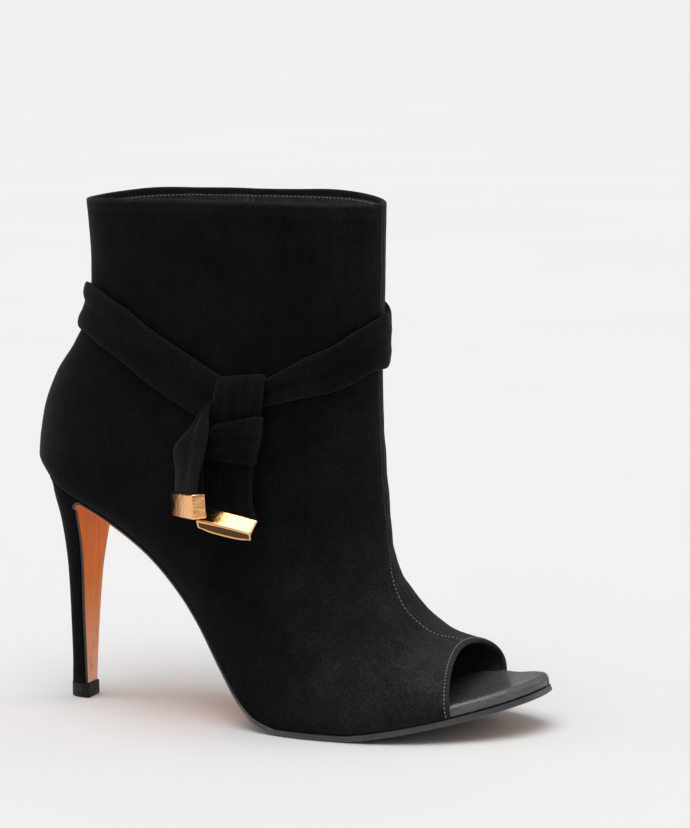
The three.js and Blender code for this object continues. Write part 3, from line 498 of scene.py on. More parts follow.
def crease_depth(points, side):
    """How far the creases push the suede in at points of one side, in millimetres."""
    flat = points[..., [0, 2]]
    depth = np.zeros(flat.shape[:-1])
    for x0, z0, x1, z1, half, deep in CREASES[side]:
        a, line = np.array([x0, z0], float), np.array([x1 - x0, z1 - z0], float)
        t = np.clip(((flat - a) @ line) / (line @ line), 0, 1)
        bow = np.sin(np.pi * t)[..., None] * np.array([-line[1], line[0]]) * 0.06
        away = np.linalg.norm(flat - a - t[..., None] * line - bow, axis=-1)
        fade = 0.35 + 0.65 * np.sin(np.pi * np.clip(t, 0.02, 0.98))
        depth += fade * hump(away, 0, half, deep)
    return depth


def waves(points, size, seed):
    """Soft unevenness, from -1 to 1, with waves of a size in millimetres."""
    shift = Vector((seed * 7.3, seed * 3.1, seed * 5.7))
    flat = points.reshape(-1, 3) / size
    return np.array([noise.noise(Vector(p) + shift) for p in flat]).reshape(points.shape[:-1])


@cached
def upper_skin():
    """The upper's outer surface with its creases and unevenness."""
    shape = upper_shape()
    points, normals = shape["points"], shape["normals"]
    outer, inner = crease_depth(points, "outer"), crease_depth(points, "inner")
    depth = np.concatenate([outer[:, :SIDE_POINTS], inner[:, SIDE_POINTS:]], axis=1)
    depth[:, SIDE_POINTS] = (outer[:, SIDE_POINTS] + inner[:, SIDE_POINTS]) / 2
    rough = sum(deep * waves(points, size, seed) for deep, size, seed in UNEVENNESS)
    calm = np.ones(len(points))
    calm[:CALM_ROWS] = np.linspace(CALM_SHARE, 1, CALM_ROWS)
    calm[-CALM_ROWS:] = np.linspace(1, CALM_SHARE, CALM_ROWS)
    skin = points + normals * ((rough - depth) * calm[:, None])[..., None]
    below = np.clip(1 - (points[:1, :, 2] - points[..., 2]) / COLLAR_SWAY_DEPTH, 0, 1)
    rim = points[:1] * np.array([1, 1, 0])
    skin[..., 2] += COLLAR_SWAY * below**2 * waves(rim, 26, 3)
    skin += normals * (COLLAR_SWAY_SIDEWAYS * below * waves(rim, 30, 4))[..., None]
    return skin


def brushed_and_lit_zones(points):
    """Lighter suede, brushed-up nap and painted light: on the toes, heel cup and shaft's front and back."""
    x, z = points[..., 0], points[..., 2]
    toes = rises(x, 105, 165) * falls(z, 48, 96)
    tip = rises(x, 160, 186) * rises(z, 14, 26) * falls(z, 42, 67)
    cup = falls(x, 2, 28) * rises(z, 95, 107) * falls(z, 150, 170)
    back = falls(x, 20, 42) * rises(z, 175, 195)
    front = rises(x, 128, 144) * rises(z, 60, 100)
    return 0.4 * toes + 0.74 * tip + 0.3 * cup + 0.3 * back + 0.08 * front


def wrinkled_zones(points):
    """Where the suede is finely wrinkled: over the instep and at the bend of the ankle."""
    x, z = points[..., 0], points[..., 2]
    return np.clip(hump(z, 70, 42) * rises(x, 95, 135) + hump(z, 115, 20, 0.25), 0, 1)


@cached
def upper_tree():
    """The upper's plain surface for rays from outside."""
    points = upper_shape()["points"]
    rows, columns = points.shape[:2]
    index = np.arange(rows * columns).reshape(rows, columns)
    return BVHTree.FromPolygons(points.reshape(-1, 3).tolist(), quads_of(index).tolist())


def quads_of(index):
    """Faces between the rows and columns of a grid of point numbers."""
    return np.stack([index[:-1, :-1], index[1:, :-1], index[1:, 1:], index[:-1, 1:]], -1).reshape(-1, 4)


def outer_point(x, z):
    """The outer side of the upper over a point of the side view."""
    hit = upper_tree().ray_cast(Vector((x, RAYS_FROM, z)), Vector((0, 1, 0)))[0]
    if hit is None:
        raise ValueError(f"nothing of the upper lies at x {x:.1f}, z {z:.1f}")
    return np.array(hit)


def outer_frame(x, z):
    """A point of the outer side and its directions along the boot, up and outward."""
    step = 1.5
    along = unit(outer_point(x + step, z) - outer_point(x - step, z))
    rise = unit(outer_point(x, z + step) - outer_point(x, z - step))
    out = unit(np.cross(along, rise))
    return outer_point(x, z), along, np.cross(out, along), out


def frame_shift():
    """From the shoe's own measures to the frame, found from where the sole lies."""
    low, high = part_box("outsole")
    widest = sole_edge(np.linspace(90, 200, 400), "outer").min()
    return np.array([high.x * 1000 - FOOT_LENGTH + END_CUT, low.y * 1000 - widest, 0])


SHIFT = frame_shift()


class Skin:
    """Collects grids of points in the shoe's millimetres and makes one smooth mesh of them."""

    def __init__(self, *fields):
        self.points, self.faces, self.slots = [], [], []
        self.fields = {name: [] for name in fields}
        self.count = 0

    def grid(self, points, slots=0, closed=False, turned=False, **fields):
        """Adds rows of points. slots is one material slot or one for each column."""
        rows, columns = points.shape[:2]
        index = np.arange(rows * columns).reshape(rows, columns) + self.count
        if closed:
            index = np.concatenate([index, index[:, :1]], axis=1)
        quads = quads_of(index)
        slots = np.broadcast_to(np.asarray(slots), (rows - 1, index.shape[1] - 1))
        self.faces += (quads[:, ::-1] if turned else quads).tolist()
        self.slots += slots.reshape(-1).tolist()
        self.points.append(points.reshape(-1, 3))
        self.count += rows * columns
        for name, kept in self.fields.items():
            kept.append(np.broadcast_to(fields.get(name, PLAIN_FIELDS[name]), (rows, columns)).reshape(-1))

    def fan(self, ring, slot=0, turned=False):
        """Closes a ring whose first half faces its second half."""
        half = len(ring) // 2
        self.grid(np.stack([ring[:half], ring[::-1][:half]]), slot, turned=turned)

    def solid(self, rings, slots=0, end_slot=0, **fields):
        """Adds closed rings and both ends."""
        self.grid(rings, slots, closed=True, **fields)
        self.fan(rings[0], end_slot, turned=True)
        self.fan(rings[-1], end_slot)

    def make(self, name, materials, node=None, slot=None, sharp=52):
        """Makes the mesh, with edges sharp where its faces turn by more than an angle in degrees."""
        mesh = bpy.data.meshes.new(name)
        mesh.from_pydata(((np.concatenate(self.points) + SHIFT) * 0.001).tolist(), [], self.faces)
        for field, kept in self.fields.items():
            attribute = mesh.attributes.new(field, "FLOAT", "POINT")
            attribute.data.foreach_set("value", np.concatenate(kept).astype(np.float32))
        mesh.polygons.foreach_set("material_index", np.array(self.slots, np.int32))
        work = bmesh.new()
        work.from_mesh(mesh)
        bmesh.ops.remove_doubles(work, verts=work.verts, dist=2e-6)
        bmesh.ops.dissolve_degenerate(work, dist=1e-7, edges=work.edges)
        for face in work.faces:
            face.smooth = True
        for edge in work.edges:
            turns = len(edge.link_faces) == 2 and edge.calc_face_angle(0) > math.radians(sharp)
            edge.smooth = not turns
        work.to_mesh(mesh)
        work.free()
        piece = bpy.data.objects.new(name, mesh)
        bpy.context.scene.collection.objects.link(piece)
        for material in materials:
            mesh.materials.append(material)
        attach(piece, "root")
        if node:
            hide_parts(node)


# Shader building
FLOAT, VECTOR = "NodeSocketFloat", "NodeSocketVector"


def feed(tree, sockets, values):
    """Gives sockets other nodes' outputs or values of their own."""
    for name, value in values.items():
        socket = sockets[name.replace("_", " ") if isinstance(name, str) else name]
        if isinstance(value, bpy.types.NodeSocket):
            tree.links.new(value, socket)
        else:
            socket.default_value = value


def add(tree, kind, inputs, **settings):
    made = tree.nodes.new(kind)
    for name, value in settings.items():
        setattr(made, name, value)
    feed(tree, made.inputs, inputs)
    return made.outputs


def math_node(tree, operation, *values):
    return add(tree, "ShaderNodeMath", dict(enumerate(values)), operation=operation)[0]


def blend_colour(tree, share, low, high):
    return add(tree, "ShaderNodeMix", {0: share, 6: low, 7: high}, data_type="RGBA")[2]


def ramp(tree, value, low, high, to_low=0.0, to_high=1.0):
    inputs = {"Value": value, "From Min": low, "From Max": high, "To Min": to_low, "To Max": to_high}
    return add(tree, "ShaderNodeMapRange", inputs, interpolation_type="SMOOTHSTEP")[0]


def noise_value(tree, where, scale, detail=3.0, roughness=0.55, distortion=0.0):
    return add(tree, "ShaderNodeTexNoise", {"Vector": where, "Scale": scale, "Detail": detail,
                                            "Roughness": roughness, "Distortion": distortion})[0]


def stretched(tree, where, factors):
    return add(tree, "ShaderNodeVectorMath", {0: where, 1: factors}, operation="MULTIPLY")[0]


def parts_of(tree, where):
    return add(tree, "ShaderNodeSeparateXYZ", {0: where})


def field_value(tree, name):
    return add(tree, "ShaderNodeAttribute", {}, attribute_name=name)["Fac"]


def bump(tree, height, distance, strength=1.0, normal=None):
    inputs = {"Height": height, "Distance": distance, "Strength": strength}
    if normal is not None:
        inputs["Normal"] = normal
    return add(tree, "ShaderNodeBump", inputs)[0]


def rgba(colour, factor=1.0):
    return (*(min(1, part * factor) for part in colour), 1.0)


def group(name, inputs, outputs, vector=True):
    """An empty node group with a vector input or none, its inputs with their defaults, and its outputs."""
    tree = bpy.data.node_groups.new(name, "ShaderNodeTree")
    if vector:
        tree.interface.new_socket("Vector", in_out="INPUT", socket_type=VECTOR)
    for socket, value in inputs.items():
        tree.interface.new_socket(socket, in_out="INPUT", socket_type=FLOAT).default_value = value
    for socket in outputs.split():
        tree.interface.new_socket(socket, in_out="OUTPUT", socket_type=FLOAT)
    return tree, tree.nodes.new("NodeGroupInput").outputs, tree.nodes.new("NodeGroupOutput").inputs


@cached
def nap_group():
    """Brushed nap: a mottled mask for the colour, a fine speckle and a fine height for the bump."""
    tree, given, put = group("Suede nap", {"Patch scale": 45.0, "Fibre scale": 1500.0},
                             "Mask Speckle Height")
    where = given["Vector"]
    patches = noise_value(tree, where, given["Patch scale"], 4.0, 0.6)
    stroke_scale = math_node(tree, "MULTIPLY", given["Patch scale"], 5.0)
    strokes = noise_value(tree, stretched(tree, where, (1.0, 1.0, 0.45)), stroke_scale, 4.0, 0.7)
    fibres = noise_value(tree, where, given["Fibre scale"], 3.0, 0.75)
    broad = math_node(tree, "MULTIPLY", ramp(tree, patches, 0.34, 0.7), 0.55)
    feed(tree, put, {
        "Mask": math_node(tree, "MULTIPLY_ADD", ramp(tree, strokes, 0.33, 0.72), 0.45, broad),
        "Speckle": ramp(tree, fibres, 0.3, 0.74),
        "Height": math_node(tree, "MULTIPLY_ADD", fibres, 0.7, math_node(tree, "MULTIPLY", strokes, 0.6)),
    })
    return tree


@cached
def wrinkle_group():
    """Fine wrinkles that run across the foot."""
    tree, given, put = group("Fine wrinkles", {"Scale": 420.0}, "Height")
    across = stretched(tree, given["Vector"], (0.55, 0.22, 1.0))
    folds = noise_value(tree, across, given["Scale"], 3.0, 0.5, 0.8)
    creased = math_node(tree, "ABSOLUTE", math_node(tree, "MULTIPLY_ADD", folds, 2.0, -1.0))
    feed(tree, put, {"Height": ramp(tree, creased, 0.0, 0.28)})
    return tree


@cached
def grain_group():
    """Leather grain: small cells with soft valleys between them."""
    tree, given, put = group("Leather grain", {"Cell scale": 1400.0, "Unevenness": 0.5}, "Height Mask")
    where, scale = given["Vector"], given["Cell scale"]
    bent = noise_value(tree, where, math_node(tree, "MULTIPLY", scale, 0.3), 2.0)
    cells = add(tree, "ShaderNodeTexVoronoi", {"Vector": where, "Scale": scale}, feature="DISTANCE_TO_EDGE")
    valleys = math_node(tree, "MULTIPLY", ramp(tree, cells["Distance"], 0.0, 0.22), 0.7)
    broad = noise_value(tree, where, math_node(tree, "MULTIPLY", scale, 0.08), 3.0)
    feed(tree, put, {
        "Height": math_node(tree, "MULTIPLY_ADD", broad, given["Unevenness"], valleys),
        "Mask": ramp(tree, math_node(tree, "MULTIPLY", broad, bent), 0.12, 0.4),
    })
    return tree


@cached
def seam_group():
    """A sewn seam: a groove and the lighter rubbed swell beside it, from the distance in millimetres."""
    tree, given, put = group("Sewn seam", {"Distance": 60.0, "Groove width": 0.45, "Swell width": 1.6},
                             "Height Rub Dark", vector=False)
    away = math_node(tree, "ABSOLUTE", given["Distance"])
    groove = ramp(tree, away, 0.0, given["Groove width"])
    swell_end = math_node(tree, "MULTIPLY", given["Swell width"], 1.9)
    swell = ramp(tree, away, given["Swell width"], swell_end, 1.0, 0.0)
    # Dark is painted shade in the groove
    feed(tree, put, {
        "Height": math_node(tree, "MULTIPLY", groove, math_node(tree, "MULTIPLY_ADD", swell, 0.35, 0.65)),
        "Rub": math_node(tree, "MULTIPLY", swell, groove),
        "Dark": math_node(tree, "SUBTRACT", 1.0, groove),
    })
    return tree


@cached
def dust_group():
    """Dust and scuffs: more of them low down."""
    tree, given, put = group("Dust and scuffs", {"Scale": 120.0, "Amount": 0.3}, "Mask")
    low = ramp(tree, parts_of(tree, given["Vector"])[2], 0.0, 0.09, 1.0, 0.25)
    spots = ramp(tree, noise_value(tree, given["Vector"], given["Scale"], 6.0, 0.7), 0.52, 0.8)
    dusty = math_node(tree, "MULTIPLY", low, spots)
    feed(tree, put, {"Mask": math_node(tree, "MULTIPLY", dusty, given["Amount"])})
    return tree


def use(tree, made_group, **inputs):
    """A group placed in a material, with its own values."""
    node = tree.nodes.new("ShaderNodeGroup")
    node.node_tree = made_group
    feed(tree, node.inputs, inputs)
    return node.outputs


def new_material(name, **shader):
    """A material with a Principled shader whose plain values are set on its own sockets."""
    material = bpy.data.materials.new(name)
    material.use_nodes = True
    tree = material.node_tree
    surface = tree.nodes["Principled BSDF"].inputs
    feed(tree, surface, shader)
    return material, tree, surface, tree.nodes.new("ShaderNodeTexCoord").outputs["Object"]


def leather(name, colour, dust, mottle, grain, scuffs, depth, gloss, **shader):
    """A grained finish. mottle is the factor of its lighter spots or None, grain is cells and unevenness,
    scuffs is scale and amount, depth is distance and strength, and gloss is what drives the roughness and
    its ramp."""
    made, tree, surface, where = new_material(name, **shader)
    grained = use(tree, grain_group(), Vector=where, Cell_scale=grain[0], Unevenness=grain[1])
    scuffed = use(tree, dust_group(), Vector=where, Scale=scuffs[0], Amount=scuffs[1])
    shown = rgba(colour)
    if mottle is not None:
        shown = blend_colour(tree, grained["Mask"], shown, rgba(colour, mottle))
    driver, *steps = gloss
    feed(tree, surface, {
        "Base Color": blend_colour(tree, scuffed["Mask"], shown, rgba(dust)),
        "Normal": bump(tree, grained["Height"], *depth),
        "Roughness": ramp(tree, grained[driver], *steps),
    })
    return made


@cached
def suede_material(colours):
    made, tree, surface, where = new_material(
        "black suede", Specular_IOR_Level=0.07, Sheen_Weight=0.1, Sheen_Roughness=0.3,
        Sheen_Tint=(0.8, 0.8, 0.84, 1.0))
    nap = use(tree, nap_group(), Vector=where, Patch_scale=55.0, Fibre_scale=1600.0)
    wrinkles = use(tree, wrinkle_group(), Vector=where, Scale=560.0)["Height"]
    dust = use(tree, dust_group(), Vector=where, Scale=900.0, Amount=0.12)["Mask"]
    front, inner = (
        use(tree, seam_group(), Distance=field_value(tree, name), Groove_width=0.55, Swell_width=1.5)
        for name in ("front_seam", "inner_seam"))
    groove_shade = math_node(tree, "MAXIMUM", front["Dark"], inner["Dark"])
    swell = math_node(tree, "MAXIMUM", front["Rub"], inner["Rub"])
    wrinkled = math_node(tree, "MULTIPLY", wrinkles, field_value(tree, "wrinkled"))
    # Lighter suede: random nap patches, brushed-up nap with painted light, painted highlights and seam
    # swells
    lifted = math_node(tree, "MULTIPLY_ADD", nap["Mask"], 0.8, 0.5)
    share = math_node(tree, "MULTIPLY", field_value(tree, "brushed"), lifted)
    lighter = ((nap["Mask"], 0.17), (field_value(tree, "rub"), 0.35), (swell, 0.12), (wrinkled, 0.07))
    for mask, amount in lighter:
        share = math_node(tree, "MULTIPLY_ADD", mask, amount, share)
    share = math_node(tree, "MULTIPLY", share, ramp(tree, nap["Speckle"], 0.0, 1.0, 0.45, 1.5))
    colour = blend_colour(tree, share, rgba(colours.suede), rgba(colours.nap))
    colour = blend_colour(tree, dust, colour, rgba(colours.dust))
    # Painted shade in the seam grooves
    colour = blend_colour(tree, math_node(tree, "MULTIPLY", groove_shade, 0.8), colour, rgba(colours.groove))
    grooves = bump(tree, math_node(tree, "MULTIPLY", front["Height"], inner["Height"]), 0.0006)
    folded = bump(tree, wrinkled, 0.0004, 0.45, grooves)
    feed(tree, surface, {
        "Base Color": colour,
        "Normal": bump(tree, nap["Height"], 0.0003, 0.6, folded),
        "Roughness": ramp(tree, nap["Mask"], 0.0, 1.0, 0.84, 0.97),
    })
    return made


@cached
def lining_material(colours):
    return leather("lining leather", colours.lining, colours.dust, mottle=1.7, grain=(1100.0, 0.6),
                   scuffs=(260.0, 0.4), depth=(0.0002, 0.5), gloss=("Height", 0.2, 1.0, 0.62, 0.48),
                   Specular_IOR_Level=0.4)


@cached
def insole_material(colours):
    return leather("insole leather", colours.insole, colours.dust, mottle=1.6, grain=(1150.0, 0.5),
                   scuffs=(320.0, 0.5), depth=(0.0003, 0.6), gloss=("Height", 0.2, 1.0, 0.4, 0.27),
                   Specular_IOR_Level=1.0, Coat_Weight=0.25, Coat_Roughness=0.2)


@cached
def edge_material(colours):
    return leather("painted sole edge", colours.edge, colours.dust, mottle=None, grain=(700.0, 0.9),
                   scuffs=(420.0, 0.9), depth=(0.00012, 0.4), gloss=("Mask", 0.0, 1.0, 0.34, 0.5),
                   Specular_IOR_Level=0.5, Coat_Weight=0.3, Coat_Roughness=0.25)


@cached
def rubber_material(colours):
    return leather("heel rubber", colours.rubber, colours.dust, mottle=None, grain=(2200.0, 0.7),
                   scuffs=(520.0, 0.8), depth=(0.00008, 0.4), gloss=("Mask", 0.0, 1.0, 0.42, 0.6),
                   Specular_IOR_Level=0.2)


@cached
def sole_material(colours):
    """Tan leather with streaks along it, paler down the heel and worn where the forefoot meets the floor."""
    made, tree, surface, where = new_material("sole leather", Specular_IOR_Level=0.06)
    grain = use(tree, grain_group(), Vector=where, Cell_scale=900.0, Unevenness=0.8)
    scuffs = use(tree, dust_group(), Vector=where, Scale=90.0, Amount=0.6)
    streaks = noise_value(tree, stretched(tree, where, (0.3, 2.2, 0.3)), 160.0, 5.0, 0.65)
    streaks = ramp(tree, streaks, 0.3, 0.75)
    place = parts_of(tree, where)
    forefoot, height = ramp(tree, place[0], -0.06, -0.02), place[2]
    worn = math_node(tree, "MULTIPLY", forefoot, ramp(tree, height, 0.005, 0.022, 0.93, 0.0))
    colour = blend_colour(tree, streaks, rgba(colours.sole), rgba(colours.sole, 0.85))
    # Paler low down, toward the foot of the heel
    colour = blend_colour(tree, ramp(tree, height, 0.006, 0.056, 0.85, 0.0), colour, rgba(colours.paler_sole))
    colour = blend_colour(tree, worn, colour, rgba(colours.tread))
    feed(tree, surface, {
        "Base Color": blend_colour(tree, scuffs["Mask"], colour, rgba(colours.sole, 0.5)),
        "Normal": bump(tree, grain["Height"], 0.00008, 0.35),
        "Roughness": ramp(tree, streaks, 0.0, 1.0, 0.3, 0.42),
    })
    return made


@cached
def gold_material(colours):
    made, tree, surface, where = new_material("polished gold metal", Metallic=1.0)
    cloudy = noise_value(tree, where, 260.0, 4.0, 0.6)
    fine = noise_value(tree, where, 5200.0, 2.0, 0.5)
    patchy = math_node(tree, "MULTIPLY", cloudy, 0.35)
    # Painted highlight on the tips' rims where rub is set, over patchy tone
    share = math_node(tree, "MULTIPLY_ADD", field_value(tree, "rub"), 0.5, patchy)
    colour = blend_colour(tree, share, rgba(colours.gold), rgba(colours.gold, 1.25))
    # Painted shade: the recess at a tip's end is coloured dark
    shade = math_node(tree, "MULTIPLY", field_value(tree, "shade"), 0.93)
    feed(tree, surface, {
        "Base Color": blend_colour(tree, shade, colour, rgba(colours.recess)),
        "Normal": bump(tree, math_node(tree, "MULTIPLY_ADD", fine, 0.12, cloudy), 0.00035, 0.5),
        "Roughness": ramp(tree, cloudy, 0.3, 0.75, 0.07, 0.16),
    })
    return made


@cached
def thread_material(colours):
    made, tree, surface, where = new_material("sewing thread", Roughness=0.7, Sheen_Weight=0.2)
    twist = noise_value(tree, where, 2600.0, 2.0, 0.6)
    feed(tree, surface, {
        "Base Color": blend_colour(tree, ramp(tree, twist, 0.3, 0.7), rgba(colours.thread, 0.6),
                                   rgba(colours.thread)),
        "Normal": bump(tree, twist, 0.0001, 0.6),
    })
    return made


# Upper
def rolled_edge(edge, normal, ahead, inside):
    """Rows that carry the skin round the end of the wall and a little way back on its inner side."""
    radius = WALL / 2
    middle = edge - normal * radius - ahead * radius
    rows = [middle + (normal * math.cos(angle) + ahead * math.sin(angle)) * radius
            for angle in np.linspace(0, math.pi, 11)]
    rows += [middle - normal * radius - ahead * inside * back for back in (0.5, 1.0)]
    rows.append(middle - normal * radius * 0.3 - ahead * (inside + 0.4))
    return rows


def rows_to_roll(points):
    """How many last rows of a grid give way to a rolled edge."""
    steps = np.linalg.norm(np.diff(points[::-1], axis=0), axis=2).mean(axis=1)
    return int(np.searchsorted(np.cumsum(steps), WALL / 2)) + 1


def make_upper(sizes, colours):
    shape, skin = upper_shape(), upper_skin()
    normals, last = shape["normals"], len(skin) - 1
    collar = rolled_edge(skin[0], normals[0], unit(skin[0] - skin[2]), sizes.turned_edge)[::-1]
    opening = rolled_edge(skin[-1], normals[-1], unit(skin[-1] - skin[-3]), sizes.turned_edge)
    kept = range(rows_to_roll(skin[::-1]), last - rows_to_roll(skin) + 1)
    points = np.concatenate([collar, skin[kept], opening])
    rows = [0] * len(collar) + list(kept) + [last] * len(opening)
    from_collar = np.linalg.norm(skin - skin[0], axis=2)[rows]
    from_opening = np.linalg.norm(skin - skin[-1], axis=2)[rows]
    # Painted highlight on the collar's and opening's rolled rims and a line under the collar, with rubbed
    # nap
    rub = hump(from_collar, 0, 1.6) + hump(from_opening, 0, 1.9, 0.8) + hump(from_collar, 4.2, 1.0, 0.25)
    on_foot = (np.array(rows) >= SHAFT_ROWS)[:, None]

    def tucked(end):
        """The skin's end, turned in under the foot where it meets the sole."""
        tuck = normals[rows, end] * SKIN_TUCK_IN + np.array([0, 0, SKIN_TUCK_DOWN])
        return points[:, end] - tuck * on_foot

    def spread(values):
        return np.concatenate([values[:, :1], values, values[:, -1:]], axis=1)

    points = np.concatenate([tucked(0)[:, None], points, tucked(-1)[:, None]], axis=1)
    plain = shape["points"][rows]
    piece = Skin(*SUEDE_FIELDS, "brushed", "wrinkled")
    piece.grid(points, rub=spread(rub), front_seam=spread(shape["front"][rows]),
               inner_seam=spread(shape["inner"][rows]), brushed=spread(brushed_and_lit_zones(plain)),
               wrinkled=spread(wrinkled_zones(plain)))
    piece.make("upper_suede", [suede_material(colours)], "upper", "suede")

    inside = shape["points"] - normals * (WALL + LINING_GAP)
    inside[..., 2] = np.maximum(inside[..., 2], last_bottom(inside[..., 0]) + CURVED_GAP)
    rows = sorted({*kept[1::2], kept[-1]})
    lining = Skin("rub")
    lining.grid(inside[rows][:, ::2], turned=True)
    lining.make("upper_lining", [lining_material(colours)])


# Stitches
def stitch_row(skin, path, normals, sizes, scale=1.0):
    """Adds one row of stitches over a line of points."""
    marks = np.concatenate([[0], np.cumsum(np.linalg.norm(np.diff(path, axis=0), axis=1))])
    length, radius = sizes.stitch_length * scale, sizes.stitch_radius * scale
    places = np.arange(sizes.stitch_pitch / 2, marks[-1], sizes.stitch_pitch)
    rng = random.Random(len(places))
    angles = np.linspace(0, 2 * math.pi, 6, endpoint=False)[:, None]

    def at(place, values):
        return np.array([np.interp(place, marks, values[:, k]) for k in range(3)])

    for place in places:
        middle, out = at(place, path), unit(at(place, normals))
        along = unit(at(min(place + 0.5, marks[-1]), path) - middle)
        along = unit(along + unit(np.cross(out, along)) * rng.uniform(-0.08, 0.08))
        aside = unit(np.cross(out, along))
        long = length * rng.uniform(0.9, 1.08)
        skin.grid(np.array([
            middle + along * long * share + out * radius * lift
            + (aside * np.cos(angles) + out * np.sin(angles)) * radius * wide
            for share, wide, lift in STITCH_SHAPE]), closed=True)


def line_at(grid, normals, field, value, rows, columns):
    """The line on a grid where a field has a value, one point for each row that has one."""
    path, outward = [], []
    for row in rows:
        values = field[row, columns]
        sign = np.sign(values - value)
        cross = np.nonzero(sign[:-1] * sign[1:] < 0)[0]
        if not len(cross):
            continue
        c = cross[0]
        t = (value - values[c]) / (values[c + 1] - values[c])
        a, b = columns[c], columns[c + 1]
        path.append(mix(grid[row, a], grid[row, b], t))
        outward.append(mix(normals[row, a], normals[row, b], t))
    return np.array(path), unit(np.array(outward))


def make_stitches(sizes, colours):
    shape, skin = upper_shape(), upper_skin()
    plain, normals, last = shape["points"], shape["normals"], len(skin) - 1
    seam_rows = range(2, last - 3)
    thread = [thread_material(colours)]
    inside = WALL + 0.1

    def turned(values):
        return values.swapaxes(0, 1)

    seam = Skin()
    near = range(SIDE_POINTS - 30, SIDE_POINTS + 15)
    path, outward = line_at(skin, normals, shape["front"], -sizes.seam_margin, seam_rows, near)
    sunk = 1.3 * sizes.stitch_radius * rises(path[:, 2], 56, 68)
    stitch_row(seam, path - outward * sunk[:, None], outward, sizes)
    seam.make("front_seam_stitches", thread)

    twin = Skin()
    columns = range(SIDE_POINTS + 4, 2 * SIDE_POINTS + 1)
    for margin in (-0.85 * sizes.seam_margin, 0.85 * sizes.seam_margin):
        path, outward = line_at(skin, normals, shape["inner"], margin, seam_rows, columns)
        stitch_row(twin, path, outward, sizes)
        short = line_at(plain, normals, shape["inner"], margin, range(2, 8), columns)[0]
        outward = outward[:len(short)]
        stitch_row(twin, short - outward * inside, -outward, sizes)
    twin.make("inner_seam_stitches", thread)

    edge = Skin()
    back = np.linalg.norm(skin - skin[-1], axis=2)
    path, outward = line_at(turned(skin), turned(normals), back.T, sizes.opening_margin,
                            range(1, 2 * SIDE_POINTS), range(last - 12, last + 1))
    stitch_row(edge, path, outward, sizes)
    edge.make("opening_stitches", thread)

    collar = Skin()
    down = np.linalg.norm(plain - plain[0], axis=2)
    path, outward = line_at(turned(plain), turned(normals), down.T, sizes.turned_edge + WALL / 2 + 0.5,
                            range(0, 2 * SIDE_POINTS + 1), range(0, 14))
    stitch_row(collar, path - outward * inside, -outward, sizes, scale=1.1)
    collar.make("collar_stitches", thread)


# Insole, heel and sole
def flat_ring(outer, inner, strips):
    """A cross section of a flat layer from its two edges, each from the bottom up, with strips between."""
    shares = (np.arange(1, strips) / strips)[:, None]
    return np.concatenate([outer, mix(outer[-1], inner[-1], shares), inner[::-1],
                           mix(inner[0], outer[0], shares)])


def layer_ring(profile, strips, from_x, to_x, inset_of, share):
    """A cross section over the last. profile holds height and inset from the bottom up."""
    halves = []
    for side in SIDES:
        half = []
        for height, inset in profile:
            x = float(min(mix(from_x, to_x - inset, share), FOOT_LENGTH - END_CUT - inset))
            total = inset_of(x, side) + inset
            x = min(x, FOOT_LENGTH - total - 0.02)
            half.append(over_last(x, float(sole_edge(x, side, total)), height))
        halves.append(np.array(half))
    return flat_ring(*halves, strips)


def stations_of(count):
    """Places along the sole, closer together at the tip."""
    return 1 - (1 - np.linspace(0, 1, count)) ** 1.9


def make_insole(sizes, colours):
    wall_inset = EDGE_MARGIN + WALL + INSOLE_GAP

    def inset_of(x, side):
        clear = rises(x, RIM_AT_SOLE[side] + GAP, RIM_AT_SOLE[side] + GAP + INSOLE_FLARE)
        return float(mix(wall_inset, INSOLE_MARGIN, clear))

    bend = INSOLE_ROUNDING
    top = CURVED_GAP + INSOLE_THICKNESS - bend
    profile = [(CURVED_GAP + height, inset) for height, inset in INSOLE_FOOT]
    angles = np.linspace(0, math.pi / 2, 11)
    profile += [(top + bend * math.sin(a), bend - bend * math.cos(a)) for a in angles]
    start, end = SEAT_BACK + INSOLE_BACK, FOOT_LENGTH - INSOLE_MARGIN
    flare = [(x - start) / (end - start) for x in (RIM_AT_SOLE["outer"], RIM_AT_SOLE["inner"] + 1.6)]
    stations = np.unique(np.concatenate([stations_of(120), np.linspace(*flare, 34)]))
    rings = np.array([layer_ring(profile, INSOLE_STRIPS, start, end, inset_of, s) for s in stations])
    middle = slice(len(profile), len(profile) + INSOLE_STRIPS - 1)
    for ring in rings:
        x = float(ring[:, 0].mean())
        low, high = float(sole_edge(x, "outer", 2)), float(sole_edge(x, "inner", 2))
        across = np.clip((ring[:, 1] - low) / max(high - low, 1), 0, 1)
        reach = rises(x, 150, 180) * falls(x, 184, 204)
        ring[:, 2] += sizes.insole_cup * reach * rises(across, 0.45, 1.0)
        ring[middle, 2] -= INSOLE_DISH * np.sin(np.pi * across[middle])
    piece = Skin("rub")
    piece.solid(rings)
    piece.make("insole_cover", [insole_material(colours)], "insole", "insole_leather")


def heel_rise():
    """Height of the heel's upper face at its front."""
    return float(last_bottom(BREAST)) - GAP


def heel_level(up):
    level = HEEL.row(up)
    return {
        "back": level["back"] * BREAST, "front": level["front"] * BREAST, "wide": level["wide"] * SEAT_WIDTH,
        "height": lambda x: up * heel_rise() + level["follow"] * (last_bottom(x) - last_bottom(BREAST)),
    }


def heel_ring(level, grow, corner, height=None):
    """A level of the heel: flat at the front with small round corners, round at the back."""
    back, front, wide = level["back"] - grow, level["front"] + grow, level["wide"] + grow
    t = np.linspace(0, 1, 26) ** 1.8
    angles = np.linspace(0, math.pi / 2, 6)[1:]
    round_y = wide * np.sqrt(np.clip(1 - (1 - t) ** HEEL_ROUNDNESS, 0, 1))
    x = np.concatenate([mix(back, front - corner, t), front - corner + corner * np.sin(angles),
                        np.full(3, front)])
    front_y = wide * np.array([0.55, 0.3, 0.05])
    y = np.concatenate([round_y, wide - corner + corner * np.cos(angles), front_y])
    z = level["height"](x) if height is None else np.full(x.shape, height)
    return np.concatenate([np.stack([x, -y, z], -1), np.stack([x, y, z], -1)[::-1]])


